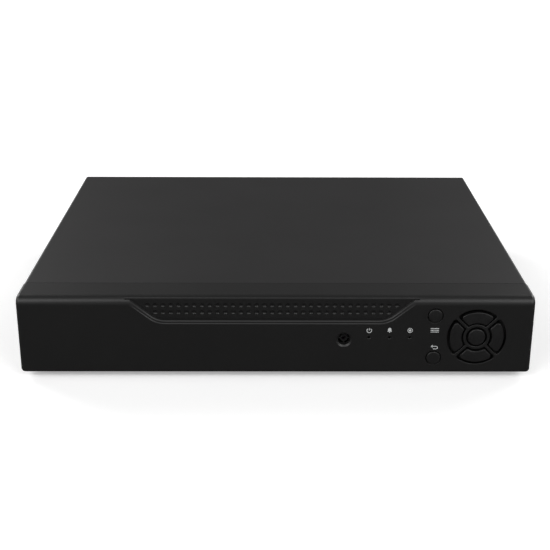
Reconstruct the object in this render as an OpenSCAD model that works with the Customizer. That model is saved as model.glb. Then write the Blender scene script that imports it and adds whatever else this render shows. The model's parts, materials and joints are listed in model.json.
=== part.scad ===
// Digital video recorder for security cameras: a low steel case with a moulded front bezel.
// +X is to the right of someone facing the front, -Y is the front and +Z is up.
// The origin is on the surface it stands on, under the middle of its overall box.

/* [Case] */
// Width of the steel case
case_w = 255; // [245:1:265]
// Height of the case without its feet
case_h = 41; // [41:0.5:46]
// Depth from the bezel's front face to the cover's rear flange
case_d = 215; // [214:1:225]
// Thickness of the cover's sheet steel
cover_t = 0.8; // [0.6:0.1:1]
// Outside radius of the cover's long bends
bend_r = 1.6; // [1.2:0.1:2.5]
// Thickness of the chassis's sheet steel
chassis_t = 1; // [0.8:0.1:1.2]
// Height of the chassis's side and front flanges
chassis_flange_h = 12; // [11:1:16]
// Height of the rubber feet
foot_h = 3; // [2:0.5:6]
// Diameter of the rubber feet
foot_d = 16; // [12:1:20]
// Height of the cover's top rear flange
rear_flange_h = 3.3; // [2.5:0.1:4]
// Width of the cover's side rear flanges
rear_flange_w = 3.8; // [3:0.1:4.5]

/* [Front bezel] */
// Width of the bezel, a little more than the case
bezel_w = 256; // [255:0.5:266]
// Depth of the bezel
bezel_d = 19; // [18:0.5:24]
// Wall thickness of the bezel's face
bezel_wall = 2.8; // [2.4:0.1:3]
// Radius of the bezel's top front edge
bezel_top_r = 4.5; // [3:0.1:5]
// Radius of the bezel's other edges
bezel_edge_r = 2; // [1:0.1:2.5]
// Place of the recess's middle across the front
recess_x = -1.9; // [-4:0.1:4]
// Half the width of the recess at the bezel's top edge
recess_top_half = 75.2; // [70:0.2:80]
// Half the width of the recess along its lower rim
recess_low_half = 57.5; // [50:0.5:60]
// Height of the recess's lower rim above the case bottom
recess_low_z = 26.8; // [26:0.1:28]
// Depth of the recess
recess_depth = 1.6; // [1.2:0.1:2.6]
// Width of the recess's bevelled rim
recess_bevel = 0.6; // [0.4:0.1:1.4]

/* [Keys and indicators] */
// Place of the round key pad's centre across the front
pad_x = 99.8; // [99:0.1:103]
// Height of the key pad's centre above the case bottom
pad_z = 19.8; // [19:0.1:21]
// Outer diameter of the pad's opening
pad_hole_d = 29.4; // [28:0.1:30]
// Outer diameter of the four arrow keys
pad_key_d = 26.8; // [25:0.1:27.4]
// Inner diameter of the pad's opening
pad_inner_d = 13.4; // [13:0.1:14]
// Diameter of the key in the middle of the pad
ok_key_d = 8.6; // [8:0.1:9]
// Diameter of the opening around the middle key
ok_hole_d = 10.4; // [10:0.1:10.6]
// Width of the four fixed spokes between the arrow keys
spoke_w = 1.4; // [1.2:0.1:1.8]
// Clearance between an arrow key and the spokes
spoke_gap = 0.8; // [0.5:0.05:1]
// Place of the two small round keys across the front
small_key_x = 78.8; // [78:0.1:80.4]
// Height of the small keys above and below the pad's centre
small_key_rise = 11.4; // [11:0.1:12]
// Diameter of the small round keys
small_key_d = 7; // [6:0.1:7.2]
// Clearance around a small round key
small_key_gap = 0.55; // [0.3:0.05:0.7]
// How far the keys stand out of the bezel's face
key_proud = 0.7; // [0.5:0.1:1.5]
// Travel of a key
key_travel = 0.5; // [0.3:0.05:0.6]
// Diameter of the indicator holes
lamp_hole_d = 1.2; // [0.8:0.1:2]
// Place of the middle indicator across the front
lamp_x = 56.4; // [56:0.1:58]
// Distance between the indicators
lamp_pitch = 10.16; // [9:0.02:11]
// Place of the remote control window across the front
window_x = 33.8; // [32:0.1:36]
// Height of the remote control window above the case bottom
window_z = 18.4; // [17:0.1:19]
// Diameter of the remote control window
window_d = 7.4; // [6.5:0.1:8]

/* [Rear sockets] */
// Distance between the bayonet sockets
bnc_pitch = 18.5; // [18:0.1:19]
// Place of the audio and video output sockets across the rear
output_x = -18.7; // [-19:0.1:-18.5]
// Height of the upper bayonet sockets above the case bottom
bnc_high_z = 29.1; // [28.5:0.1:29.5]
// Height of the lower bayonet sockets above the case bottom
bnc_low_z = 13.2; // [13:0.1:14]
// How far a bayonet socket stands out
bnc_reach = 14; // [13:0.5:16]
// Outside diameter of a bayonet socket's barrel
bnc_d = 9.6; // [9.4:0.1:9.8]
// Diameter of a bayonet socket's flange
bnc_flange_d = 13; // [12:0.1:14]
// Distance between the audio input sockets
phono_pitch = 14.1; // [13.5:0.1:14.5]
// Outside diameter of an audio socket's barrel
phono_d = 8.3; // [8.2:0.05:8.4]
// How far an audio input socket stands out
phono_reach = 7.3; // [6.5:0.1:9]
// How far the audio output socket stands out
phono_out_reach = 11; // [10:0.1:12]
// Distance between the display socket's jackscrews
jackscrew_pitch = 24.99; // [24.5:0.01:25.5]
// Radius of the thread in a jackscrew
jackscrew_hole_r = 1.42; // [1.2:0.01:1.45]
// Radius of the earth screw's hole in the rear wall
earth_hole_r = 1.6; // [1.5:0.05:1.8]

/* [Inside] */
// Height of the circuit board's standoffs
standoff_h = 3; // [2.5:0.1:3]
// Thickness of the circuit boards
board_t = 1.6; // [1.2:0.1:1.6]
// Depth of the main circuit board
main_board_d = 85.8; // [82:0.2:87]
// Length of the hard drive
drive_l = 147; // [145:0.5:148]
// Width of the hard drive
drive_w = 101.6; // [100:0.1:101.6]
// Height of the hard drive
drive_h = 26.1; // [19:0.1:27]
// Thickness of the flat leads
lead_t = 1.4; // [1:0.1:2]

/* [Hidden] */

$fn = 48;
eps = 0.01;
big = 400;

// Overall lines of the case; the label lies this far behind the cover's rear flange
label_step = 1;
overall_d = key_proud + case_d - label_step + bnc_reach;
front_y = key_proud - overall_d / 2;
rear_y = front_y + case_d;
face_y = rear_y - label_step;
label_t = 0.2;
wall_back = label_t + chassis_t;
joint_y = front_y + bezel_d;
joint_gap = 0.3;
inner_w = case_w - 2 * cover_t;
tray_w = inner_w - 2.6;
base_z = foot_h;
top_z = foot_h + case_h;

// Clips between the bezel and the chassis
clip_x = [-100, -40, 40, 100];
clip_z = 5.6;

// Bezel and key board lines, as distances behind the bezel's front face
window_depth = 3;
window_floor = 0.8;
board_back = 10;
switch_h = 3.5;
switch_size = 6;
plunger_d = 3.5;
plunger_tip = 5;
flange_t = 1;
flange_slack = 0.15;
touch = 0.05;
key_board_x = [28, 122];
key_board_z = [5, 37];
key_board_holes = [[119.2, 34.4], [119.2, 7.6], [58, 8.5]];
lamp_z = 19.5;

// Key places across the front, as [x, height above the case bottom]
arrow_r = (pad_inner_d + pad_key_d + 1.8) / 4;
ok_place = [pad_x, pad_z];
up_place = [pad_x, pad_z + arrow_r];
down_place = [pad_x, pad_z - arrow_r];
left_place = [pad_x - arrow_r, pad_z];
right_place = [pad_x + arrow_r, pad_z];
menu_place = [small_key_x, pad_z + small_key_rise];
esc_place = [small_key_x, pad_z - small_key_rise];
key_places = [up_place, down_place, left_place, right_place, ok_place, menu_place, esc_place];

// Rear socket places, as [x seen from behind, height above the case bottom]
bnc_columns = [output_x - 2 * bnc_pitch, output_x - bnc_pitch];
bnc_places = [
    for (x = bnc_columns, z = [bnc_high_z, bnc_low_z]) [x, z],
    [output_x, bnc_high_z]
];
bnc_back = -2.8;
bnc_bore_d = 8.2;
bnc_bore_depth = 10;
audio_out_place = [output_x, 14.1];
phono_centre = [37.05, 19.8];
phono_places = [for (z = [1, -1], x = [-1, 1]) phono_centre + [x, z] * phono_pitch / 2];
phono_ring_d = 10.2;
phono_ring_h = 1.5;
display_place = [5.8, 29.3];
display_size = [16.9, 8.4];
display_reach = 5.8;
jackscrew_h = 5;
video_place = [1.2, 8.9];
video_size = [14.8, 5.9];
stack_place = [62.3, 20.9];
stack_size = [18.6, 29.8];
stack_reach = 0.7;
stack_depth = 21;
plug_size = [11.8, 6.9];
plug_place = [62.5, 27.7];
latch_size = [5.4, 2.8];
usb_size = [12.6, 5.2];
usb_places = [[62.5, 18], [62.5, 9.3]];
lamp_size = [3.2, 2.7];
lamp_places = [[56.6, 33.4], [68.4, 33.4]];
terminal_place = [79, 9.5];
terminal_size = [8.8, 7.3];
terminal_pitch = 3.81;
power_place = [88.6, 11.2];
power_size = [9.8, 11];
power_hole_z = 11.5;
power_hole_d = 6.3;
power_pin_d = 2.1;
earth_place = [96.4, 28.7];

// Circuit board lines
board_z = chassis_t + standoff_h;
board_top = board_z + board_t;
main_board_x = [-104, 84];
main_board_y = [face_y - 2.2 - main_board_d, face_y - 2.2];
board_holes = [
    [-99, main_board_y[0] + 4], [-99, main_board_y[1] - 6], [-10, main_board_y[0] + 4],
    [76, main_board_y[0] + 4], [76, main_board_y[1] - 6]
];
processor_place = [-12, main_board_y[0] + 40];
processor_size = [23, 23];
processor_h = 1.6;
screw_head_r = 2.75;
screw_head_h = 1.9;
screw_r = 1.45;
screw_bore_r = 1.55;

// Hard drive lines
drive_end_x = 67;
drive_y = main_board_y[0] - 1.4 - drive_w / 2;
drive_pad_h = 2;
drive_z = base_z + chassis_t + drive_pad_h;
drive_holes = [for (x = [41.28, 85.73], y = [-1, 1]) [drive_end_x - x, drive_y + y * 47.625]];

// Cover screws, on both sides of the case
cover_screw_y = [front_y + 60, rear_y - 35];
cover_screw_z = base_z + chassis_t + 6;
dimple_depth = 1.1;
foot_places = [for (x = [-1, 1], y = [front_y + 30, rear_y - 30]) [x * (case_w / 2 - 26), y]];

// Leads, as points in plan that their middle line turns at
lead_z = base_z + 7;
data_route = [[79, -12], [97, -12], [97, 42], [89, 42]];
power_route = [[79, -44], [106, -44], [106, 60], [89, 60]];
panel_route = [[113, -98.2], [113, -84], [117, -74], [117, 78], [89, 78]];
data_h = 7;
power_h = 9;
panel_h = 10;

// ---- Shared shapes ----

// Places its children on the front face: local X is right, Y is up and Z is out of the face
module on_front() {
    translate([0, front_y, base_z]) rotate([90, 0, 0]) children();
}

// Places its children on the rear face, seen from behind: X is right, Y is up and Z is out
module on_rear() {
    translate([0, face_y, base_z]) rotate([90, 0, 180]) children();
}

// Extrudes a profile drawn in X and Z along Y
module along_y(from, to) {
    translate([0, to, 0]) rotate([90, 0, 0]) linear_extrude(to - from) children();
}

// Extrudes a profile drawn in Y and Z along X
module along_x(from, to) {
    translate([from, 0, 0]) rotate([90, 0, 90]) linear_extrude(to - from) children();
}

// Box between two corners
module block(low, high) {
    translate(low) cube(high - low);
}

// Flat box around a centre, from one local height to another
module slab(place, size, from, to) {
    translate([place[0] - size[0] / 2, place[1] - size[1] / 2, from]) cube([size[0], size[1], to - from]);
}

// Upright cylinder from one local height to another
module post(place, d, from, to) {
    translate([place[0], place[1], from]) cylinder(d = d, h = to - from);
}

// What a round corner takes off a square one; side gives the corner's direction
module corner_waste(r, side) {
    difference() {
        square(2 * r, center = true);
        translate([-side[0] * r, -side[1] * r]) circle(r);
    }
}

// Rectangle from low to high with round corners; radii are [low left, low right, high right, high left]
module round_rect(low, high, radii) {
    corners = [low, [high[0], low[1]], high, [low[0], high[1]]];
    sides = [[-1, -1], [1, -1], [1, 1], [-1, 1]];
    difference() {
        translate(low) square(high - low);
        for (i = [0 : 3])
            if (radii[i] > 0)
                translate(corners[i]) corner_waste(radii[i], sides[i]);
    }
}

// Part of a ring between two diagonals, side_gap away from each, facing +Y
module ring_sector(d_in, d_out, side_gap) {
    apex = side_gap * sqrt(2);
    intersection() {
        difference() {
            circle(d = d_out);
            circle(d = d_in);
        }
        polygon([[0, apex], [d_out, apex + d_out], [-d_out, apex + d_out]]);
    }
}

// Trapezoid with its long side up and its corners cut off round
module trapezoid(top_half, low_half, height, r) {
    slope = (top_half - low_half) / height;
    turn = 90 - atan(slope);
    inset = r * tan(turn / 2);
    steps = 6;
    arc = [
        for (i = [0 : steps])
            let (a = -90 + turn * i / steps) [low_half - inset + r * cos(a), r + r * sin(a)]
    ];
    right = concat(arc, [[top_half, height]]);
    left = [for (i = [len(right) - 1 : -1 : 0]) [-right[i][0], right[i][1]]];
    polygon(concat(right, left));
}

// Shape of a display socket: a trapezoid with its long side up
module d_outline(size, r = 1.6) {
    lean = size[1] * tan(10);
    translate([0, -size[1] / 2])
        polygon([
            [-size[0] / 2 + lean, 0], [size[0] / 2 - lean, 0],
            [size[0] / 2, size[1] - r], [size[0] / 2 - r, size[1]],
            [-size[0] / 2 + r, size[1]], [-size[0] / 2, size[1] - r]
        ]);
}

// Shape of a flat digital video socket: a rectangle with its lower corners cut off
module video_outline(size) {
    cut_x = 1.9;
    cut_z = 2;
    translate([-size[0] / 2, -size[1] / 2])
        polygon([
            [cut_x, 0], [size[0] - cut_x, 0], [size[0], cut_z],
            [size[0], size[1]], [0, size[1]], [0, cut_z]
        ]);
}

// Cross slot for a screwdriver
module cross_slot(size, depth) {
    for (turn = [0, 90])
        rotate(turn) translate([-size / 2, -size / 10, -depth]) cube([size, size / 5, depth + 1]);
}

// Pan-headed screw, its head's underside at 0 and its shank downwards
module pan_screw(length) {
    difference() {
        union() {
            cylinder(r = screw_head_r, h = screw_head_h * 0.6);
            translate([0, 0, screw_head_h * 0.6])
                cylinder(r1 = screw_head_r, r2 = screw_head_r * 0.7, h = screw_head_h * 0.4);
            translate([0, 0, -length]) cylinder(r = screw_r, h = length + eps);
        }
        translate([0, 0, screw_head_h]) cross_slot(3.2, 1.1);
    }
}

// Points of a line through the given ones, with its corners turned by curves of size r
function turned_line(p, r, steps = 6) = concat(
    [p[0]],
    [
        for (i = [1 : len(p) - 2])
            let (
                a = p[i] + (p[i - 1] - p[i]) * r / norm(p[i - 1] - p[i]),
                b = p[i] + (p[i + 1] - p[i]) * r / norm(p[i + 1] - p[i])
            )
            for (k = [0 : steps])
                let (t = k / steps) (1 - t) * (1 - t) * a + 2 * t * (1 - t) * p[i] + t * t * b
    ],
    [p[len(p) - 1]]
);

// Unit normal of a line at its point i
function line_normal(p, i) =
    let (
        a = p[max(i - 1, 0)],
        b = p[min(i + 1, len(p) - 1)],
        d = (b - a) / norm(b - a)
    ) [-d[1], d[0]];

// Flat lead standing on its edge along a route in plan
module flat_lead(route, turn_r, height) {
    line = turned_line(route, turn_r);
    left = [for (i = [0 : len(line) - 1]) line[i] + line_normal(line, i) * lead_t / 2];
    right = [for (i = [len(line) - 1 : -1 : 0]) line[i] - line_normal(line, i) * lead_t / 2];
    translate([0, 0, lead_z]) linear_extrude(height) polygon(concat(left, right));
}

// ---- Case ----

module cover_profile(inset) {
    half = case_w / 2 - inset;
    r = bend_r - inset;
    round_rect([-half, base_z - 1], [half, top_z - inset], [0, 0, r, r]);
}

module vent_slots() {
    slot = [16, 2];
    end_r = 0.98;
    pitch = 5;
    count = 12;
    for (i = [0 : count - 1])
        translate([0, front_y + 84 + i * pitch, base_z + 26])
            rotate([0, 90, 0])
                translate([0, 0, -big / 2])
                    linear_extrude(big)
                        round_rect(-slot / 2, slot / 2, [end_r, end_r, end_r, end_r]);
}

// Applies its children to both sides of the case at each cover screw, +Z pointing outwards
module at_cover_screws() {
    for (side = [-1, 1], y = cover_screw_y)
        translate([side * case_w / 2, y, cover_screw_z]) rotate([0, side * 90, 0]) children();
}

module top_cover() {
    flange_y = rear_y - cover_t;
    notch_z = base_z + 26;
    color([0.19, 0.19, 0.2]) difference() {
        union() {
            difference() {
                along_y(joint_y + joint_gap, rear_y) cover_profile(0);
                along_y(joint_y - 1, flange_y) cover_profile(cover_t);
                block([-big, -big, -big], [big, big, base_z]);
                // Opening that the rear flanges leave, wider on one side above the notch
                block(
                    [-(case_w / 2 - rear_flange_w + 0.3), flange_y - 1, -1],
                    [case_w / 2 - rear_flange_w, rear_y + 1, top_z - rear_flange_h]
                );
                block(
                    [-(case_w / 2 - rear_flange_w + 1.3), flange_y - 1, notch_z],
                    [0, rear_y + 1, top_z - rear_flange_h]
                );
            }
            at_cover_screws()
                translate([0, 0, -cover_t - dimple_depth]) cylinder(r1 = 3.9, r2 = 5.2, h = dimple_depth);
        }
        at_cover_screws() {
            translate([0, 0, -dimple_depth]) cylinder(r1 = 3.2, r2 = 4.5, h = dimple_depth + eps);
            translate([0, 0, -5]) cylinder(r = 1.7, h = 6);
        }
        vent_slots();
        // Mitred corners of the rear flanges
        for (side = [-1, 1])
            translate([side * (case_w / 2 - bend_r), rear_y - cover_t / 2, top_z - bend_r])
                rotate([0, side * 45, 0])
                    translate([-0.12, -cover_t, -6]) cube([0.24, 2 * cover_t, 5.4]);
    }
}

// Holes in the rear wall and its label, as a flat drawing seen from behind
module rear_openings(extra) {
    for (place = bnc_places)
        translate(place) circle(d = bnc_flange_d + 0.4 + extra);
    translate(audio_out_place) circle(d = 12.6 + extra);
    for (place = phono_places)
        translate(place) circle(d = phono_ring_d + 0.4 + extra);
    translate(phono_centre) circle(r = screw_bore_r + extra);
    translate(display_place) square(display_size + [1, 1], center = true);
    for (side = [-1, 1])
        translate(display_place + [side * jackscrew_pitch / 2, 0]) circle(r = 1.75);
    translate(video_place) square(video_size + [0.6, 0.6], center = true);
    translate(stack_place) square(stack_size + [1.2, 1.2], center = true);
    translate(terminal_place) square(terminal_size + [0.8, 0.8], center = true);
    translate(power_place) square(power_size + [0.8, 0.8], center = true);
    translate(earth_place) circle(r = earth_hole_r + extra / 2);
}

module chassis_base() {
    half = tray_w / 2;
    back = face_y - label_t;
    color([0.16, 0.16, 0.17]) difference() {
        union() {
            block([-half, joint_y, base_z], [half, back, base_z + chassis_t]);
            for (side = [-1, 1])
                block(
                    [side > 0 ? half - chassis_t : -half, joint_y, base_z],
                    [side > 0 ? half : -half + chassis_t, back, base_z + chassis_flange_h]
                );
            block([-half, joint_y, base_z], [half, joint_y + chassis_t, base_z + chassis_flange_h]);
            block([-half, back - chassis_t, base_z], [half, back, top_z - cover_t - 0.3]);
            // Collar that gives the earth screw more thread
            on_rear()
                translate(earth_place) translate([0, 0, -wall_back - 1.2]) cylinder(r = earth_hole_r + 1, h = 1.4);
            for (hole = drive_holes)
                post(hole, 14, base_z + chassis_t - eps, drive_z);
        }
        on_rear() translate([0, 0, -5]) linear_extrude(10) rear_openings(0);
        for (hole = drive_holes) {
            post(hole, 12, base_z - 1, base_z + drive_pad_h);
            post(hole, 3.8, base_z - 1, drive_z + 1);
        }
        for (side = [-1, 1], y = cover_screw_y)
            translate([side * case_w / 2, y, cover_screw_z])
                rotate([0, side * 90, 0]) translate([0, 0, -8]) cylinder(r = 1.55, h = 8);
        for (x = clip_x)
            block([x - 4.4, joint_y - 1, base_z + clip_z - 1.3], [x + 4.4, joint_y + 2, base_z + clip_z + 2.7]);
        // Notch that the front panel's lead passes through
        block(
            [panel_route[0][0] - 4, joint_y - 1, lead_z - 1],
            [panel_route[0][0] + 4, joint_y + 2, base_z + chassis_flange_h + 1]
        );
    }
}

module rear_label() {
    color([0.8, 0.83, 0.85]) on_rear() translate([0, 0, -label_t]) linear_extrude(label_t) difference() {
        translate([-(case_w / 2 - 3), 0.3]) square([case_w - 6, case_h - 2.4]);
        rear_openings(0.2);
    }
}

module rubber_feet() {
    color([0.08, 0.08, 0.08]) for (place = foot_places) {
        post(place, foot_d, 0.6 - eps, foot_h);
        translate([place[0], place[1], 0]) cylinder(d1 = foot_d - 1.2, d2 = foot_d, h = 0.6);
    }
}

module cover_screws() {
    color([0.25, 0.25, 0.27]) at_cover_screws()
        difference() {
            union() {
                translate([0, 0, -dimple_depth + 0.05]) cylinder(r1 = 3, r2 = 3.1, h = dimple_depth - 0.25);
                translate([0, 0, -6.5]) cylinder(r = screw_r, h = 6);
            }
            translate([0, 0, -0.2]) cross_slot(3.4, 0.7);
        }
}

// ---- Front bezel ----

module bezel_body() {
    half = bezel_w / 2;
    back = joint_y;
    intersection() {
        along_y(front_y, back)
            round_rect([-half, base_z], [half, top_z], [1, 1, 1, 1] * bezel_edge_r);
        along_x(-half, half)
            round_rect([front_y, base_z], [back, top_z], [bezel_edge_r, 0, 0, bezel_top_r]);
        translate([0, 0, base_z])
            linear_extrude(case_h)
                round_rect([-half, front_y], [half, back], [bezel_edge_r, bezel_edge_r, 0, 0]);
    }
}

// Trapezoid of the recess, grown by a margin and carried up past the bezel's top edge
module recess_outline(margin, r) {
    lean = (recess_top_half - recess_low_half) / (case_h - recess_low_z);
    height = case_h - recess_low_z + margin + 2;
    half = recess_low_half + margin;
    translate([recess_x, recess_low_z - margin])
        trapezoid(half + lean * height, half, height, r);
}

// Space inside the bezel, which the backing of the recess stands in
module bezel_cavity() {
    wall = 2.2;
    half = bezel_w / 2 - wall;
    difference() {
        block(
            [-half, front_y + bezel_wall, base_z + wall],
            [half, joint_y + 1, top_z - wall]
        );
        on_front() translate([0, 0, -recess_depth - 2])
            linear_extrude(recess_depth + 3) recess_outline(2.2, 5);
    }
}

// Recess across the upper middle, open at the bezel's top edge, with a bevelled rim
module recess_cut() {
    on_front() {
        hull() {
            translate([0, 0, 1]) linear_extrude(0.02) recess_outline(recess_bevel / recess_depth, 7);
            translate([0, 0, -recess_depth]) linear_extrude(0.02) recess_outline(-recess_bevel, 6);
        }
    }
}

// Turns a flat drawing into openings through the bezel's face
module through_face() {
    on_front() translate([0, 0, -bezel_wall - 1]) linear_extrude(bezel_wall + 2) children();
}

module key_openings() {
    through_face() {
        translate(ok_place) {
            circle(d = ok_hole_d);
            for (turn = [0 : 90 : 270])
                rotate(turn) ring_sector(pad_inner_d, pad_hole_d, spoke_w / 2);
        }
        for (place = [menu_place, esc_place])
            translate(place) circle(d = small_key_d + 2 * small_key_gap);
        for (i = [-1 : 1])
            translate([lamp_x + i * lamp_pitch, lamp_z]) circle(d = lamp_hole_d);
    }
}

// Guard in the remote control window: a hole and four curved slots
module window_guard() {
    difference() {
        circle(d = window_d + 1);
        circle(d = 2.6);
        for (turn = [45 : 90 : 315])
            rotate(turn) ring_sector(3.9, window_d - 0.5, 0.4);
    }
}

module front_bezel() {
    lip_d = 4;
    lip_t = 1.4;
    lip_half = case_w / 2 - cover_t - 0.2;
    color([0.1, 0.1, 0.105]) difference() {
        union() {
            difference() {
                bezel_body();
                bezel_cavity();
            }
            // Lip that the cover slides over
            difference() {
                block(
                    [-lip_half, joint_y - 3, base_z + chassis_flange_h + 1],
                    [lip_half, joint_y + lip_d, top_z - cover_t - 0.2]
                );
                block(
                    [-lip_half + lip_t, joint_y - 4, base_z],
                    [lip_half - lip_t, joint_y + lip_d + 1, top_z - cover_t - 0.2 - lip_t]
                );
            }
            // Clips that hook behind the chassis's front flange
            for (x = clip_x) {
                block([x - 4, joint_y - 6, base_z + 2], [x + 4, joint_y - 4, base_z + clip_z + 1.6]);
                block([x - 4, joint_y - 5, base_z + clip_z], [x + 4, joint_y + 2.6, base_z + clip_z + 1.6]);
                block([x - 4, joint_y + 1.15, base_z + clip_z], [x + 4, joint_y + 2.6, base_z + clip_z + 3.7]);
            }
            on_front() {
                for (hole = key_board_holes)
                    post(hole, 5.6, -board_back, -bezel_wall + eps);
                post([window_x, window_z], window_d + 2.4, -window_depth - window_floor, -bezel_wall + eps);
            }
        }
        recess_cut();
        key_openings();
        on_front() {
            translate([window_x, window_z, -window_depth])
                cylinder(d1 = window_d, d2 = window_d + 0.4, h = window_depth + eps);
            translate([window_x, window_z, -window_depth - window_floor - 0.5])
                linear_extrude(window_floor + 1) difference() {
                    circle(d = window_d - 0.02);
                    window_guard();
                }
            for (hole = key_board_holes)
                post(hole, 3, -board_back - 1, -board_back + 6);
        }
    }
}

// ---- Keys ----

// Key with its face, its retaining flange behind the bezel and its stem
module key_solid(place) {
    back = -bezel_wall - flange_slack;
    on_front() {
        translate([0, 0, back - eps]) linear_extrude(key_proud - back + eps) children(0);
        translate([0, 0, back - flange_t]) linear_extrude(flange_t) children(1);
        post(place, 3.2, -board_back + plunger_tip + touch, back - flange_t + eps);
    }
}

module arrow_key(place, turn) {
    color([0.11, 0.11, 0.115]) key_solid(place) {
        translate(ok_place) rotate(turn)
            ring_sector(pad_inner_d + 1.8, pad_key_d, spoke_w / 2 + spoke_gap);
        translate(ok_place) rotate(turn)
            ring_sector(pad_inner_d - 0.6, pad_hole_d + 1.4, spoke_w / 2 - 0.25);
    }
}

module round_key(place, d, flange_d) {
    color([0.11, 0.11, 0.115]) key_solid(place) {
        translate(place) circle(d = d);
        translate(place) circle(d = flange_d);
    }
}

module key_up() {
    arrow_key(up_place, 0);
}

module key_left() {
    arrow_key(left_place, 90);
}

module key_down() {
    arrow_key(down_place, 180);
}

module key_right() {
    arrow_key(right_place, 270);
}

module key_ok() {
    round_key(ok_place, ok_key_d, ok_hole_d + 1.2);
}

module key_menu() {
    round_key(menu_place, small_key_d, small_key_d + 2.4);
}

module key_esc() {
    round_key(esc_place, small_key_d, small_key_d + 2.4);
}

// Plunger of a tactile switch, which its key pushes in
module switch_plunger(place) {
    inside = 1.4;
    color([0.75, 0.73, 0.68]) on_front()
        post(place, plunger_d, -board_back + switch_h - inside, -board_back + plunger_tip);
}

module plunger_up() {
    switch_plunger(up_place);
}

module plunger_down() {
    switch_plunger(down_place);
}

module plunger_left() {
    switch_plunger(left_place);
}

module plunger_right() {
    switch_plunger(right_place);
}

module plunger_ok() {
    switch_plunger(ok_place);
}

module plunger_menu() {
    switch_plunger(menu_place);
}

module plunger_esc() {
    switch_plunger(esc_place);
}

// ---- Key board ----

module switch_bodies() {
    color([0.12, 0.12, 0.12]) on_front() for (place = key_places)
        difference() {
            slab(place, [switch_size, switch_size], -board_back, -board_back + switch_h);
            post(place, plunger_d + 0.2, -board_back + 0.8, -board_back + switch_h + 1);
        }
}

module key_board() {
    size = [key_board_x[1] - key_board_x[0], key_board_z[1] - key_board_z[0]];
    middle = [key_board_x[0] + size[0] / 2, key_board_z[0] + size[1] / 2];
    color([0.1, 0.35, 0.18]) on_front() difference() {
        slab(middle, size, -board_back - board_t, -board_back);
        for (hole = key_board_holes)
            post(hole, 2 * screw_bore_r, -board_back - board_t - 1, -board_back + 1);
    }
}

module status_lamps() {
    d = 2.9;
    color([0.85, 0.85, 0.8]) on_front() for (i = [-1 : 1])
        translate([lamp_x + i * lamp_pitch, lamp_z, 0]) {
            translate([0, 0, -board_back]) cylinder(d = d, h = board_back - bezel_wall - 0.4 - d / 2);
            translate([0, 0, -bezel_wall - 0.4 - d / 2]) sphere(d = d);
        }
}

module remote_receiver() {
    place = [window_x, window_z];
    color([0.1, 0.08, 0.1]) on_front() {
        slab(place, [6, 7], -board_back, -board_back + 3.2);
        post(place, 4.6, -board_back, -window_depth - window_floor - 0.7);
    }
}

// ---- Main board ----

module main_board() {
    color([0.1, 0.3, 0.16]) difference() {
        block(
            [main_board_x[0], main_board_y[0], base_z + board_z],
            [main_board_x[1], main_board_y[1], base_z + board_top]
        );
        for (hole = board_holes)
            post(hole, 2 * screw_bore_r, base_z, base_z + board_top + 1);
    }
}

module board_standoffs() {
    color([0.75, 0.73, 0.6]) for (hole = board_holes)
        difference() {
            post(hole, 6, base_z + chassis_t, base_z + board_z);
            post(hole, 2 * screw_bore_r, base_z + chassis_t - 1, base_z + board_z + 1);
        }
}

module pan_screws() {
    color([0.72, 0.72, 0.7]) {
        for (hole = board_holes)
            translate([hole[0], hole[1], base_z + board_top]) pan_screw(4);
        on_front() for (hole = key_board_holes)
            translate([hole[0], hole[1], -board_back - board_t]) rotate([180, 0, 0]) pan_screw(4);
        on_rear()
            translate([phono_centre[0], phono_centre[1], 0]) pan_screw(5);
    }
}

// Box standing on the main board
module on_board(place, size, height, from = 0) {
    slab(place, size, base_z + board_top + from, base_z + board_top + from + height);
}

module video_processor() {
    color([0.1, 0.1, 0.1]) on_board(processor_place, processor_size, processor_h);
}

module heat_sink() {
    size = 38;
    fins = 9;
    fin_t = 1.2;
    color([0.6, 0.6, 0.62]) {
        on_board(processor_place, [size, size], 2, processor_h);
        for (i = [0 : fins - 1])
            on_board(
                processor_place + [(i - (fins - 1) / 2) * (size - fin_t) / (fins - 1), 0],
                [fin_t, size], 9, processor_h + 2 - eps
            );
    }
}

module memory_chips() {
    color([0.12, 0.12, 0.12]) for (i = [0 : 3])
        on_board(processor_place + [i < 2 ? 34 : -34, i % 2 == 0 ? 9 : -9], [13, 9], 1.1);
}

module coin_cell() {
    place = [58, main_board_y[0] + 34];
    color([0.75, 0.75, 0.74]) {
        post(place, 20, base_z + board_top + 0.4, base_z + board_top + 3.1);
        post(place, 17, base_z + board_top, base_z + board_top + 3.6);
    }
}

module alarm_buzzer() {
    place = [-82, main_board_y[0] + 36];
    color([0.09, 0.09, 0.09]) difference() {
        post(place, 12, base_z + board_top, base_z + board_top + 8.5);
        post(place, 2.4, base_z + board_top + 7, base_z + board_top + 9);
    }
}

module lead_sockets() {
    edge = main_board_x[1];
    color([0.85, 0.83, 0.76]) {
        for (y = [data_route[3][1], power_route[3][1], panel_route[4][1]])
            block([edge - 9, y - 4, base_z + board_top], [edge - 1, y + 4, base_z + board_top + 9]);
        block(
            [panel_route[0][0] - 3.2, front_y + board_back + board_t, lead_z - 1],
            [panel_route[0][0] + 3.2, panel_route[0][1] - 0.05, lead_z + panel_h + 1]
        );
    }
}

// ---- Hard drive and leads ----

module hard_drive() {
    low = [drive_end_x - drive_l, drive_y - drive_w / 2, drive_z];
    high = [drive_end_x, drive_y + drive_w / 2, drive_z + drive_h];
    socket_y = [power_route[0][1] - 22, data_route[0][1] + 8];
    color([0.55, 0.56, 0.58]) difference() {
        union() {
            block(low, high - [0, 0, 2]);
            block(low + [2, 2, drive_h - 2 - eps], high - [2, 2, 0]);
        }
        for (hole = drive_holes)
            post(hole, 3.5, drive_z - 1, drive_z + 6);
        block([drive_end_x - 6, socket_y[0], drive_z + 2], [drive_end_x + 1, socket_y[1], drive_z + 10]);
        // Hollow under the drive, where its own circuit board sits
        block(low + [22, 12, -1], [drive_end_x - 16, high[1] - 12, drive_z + 9]);
    }
}

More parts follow.
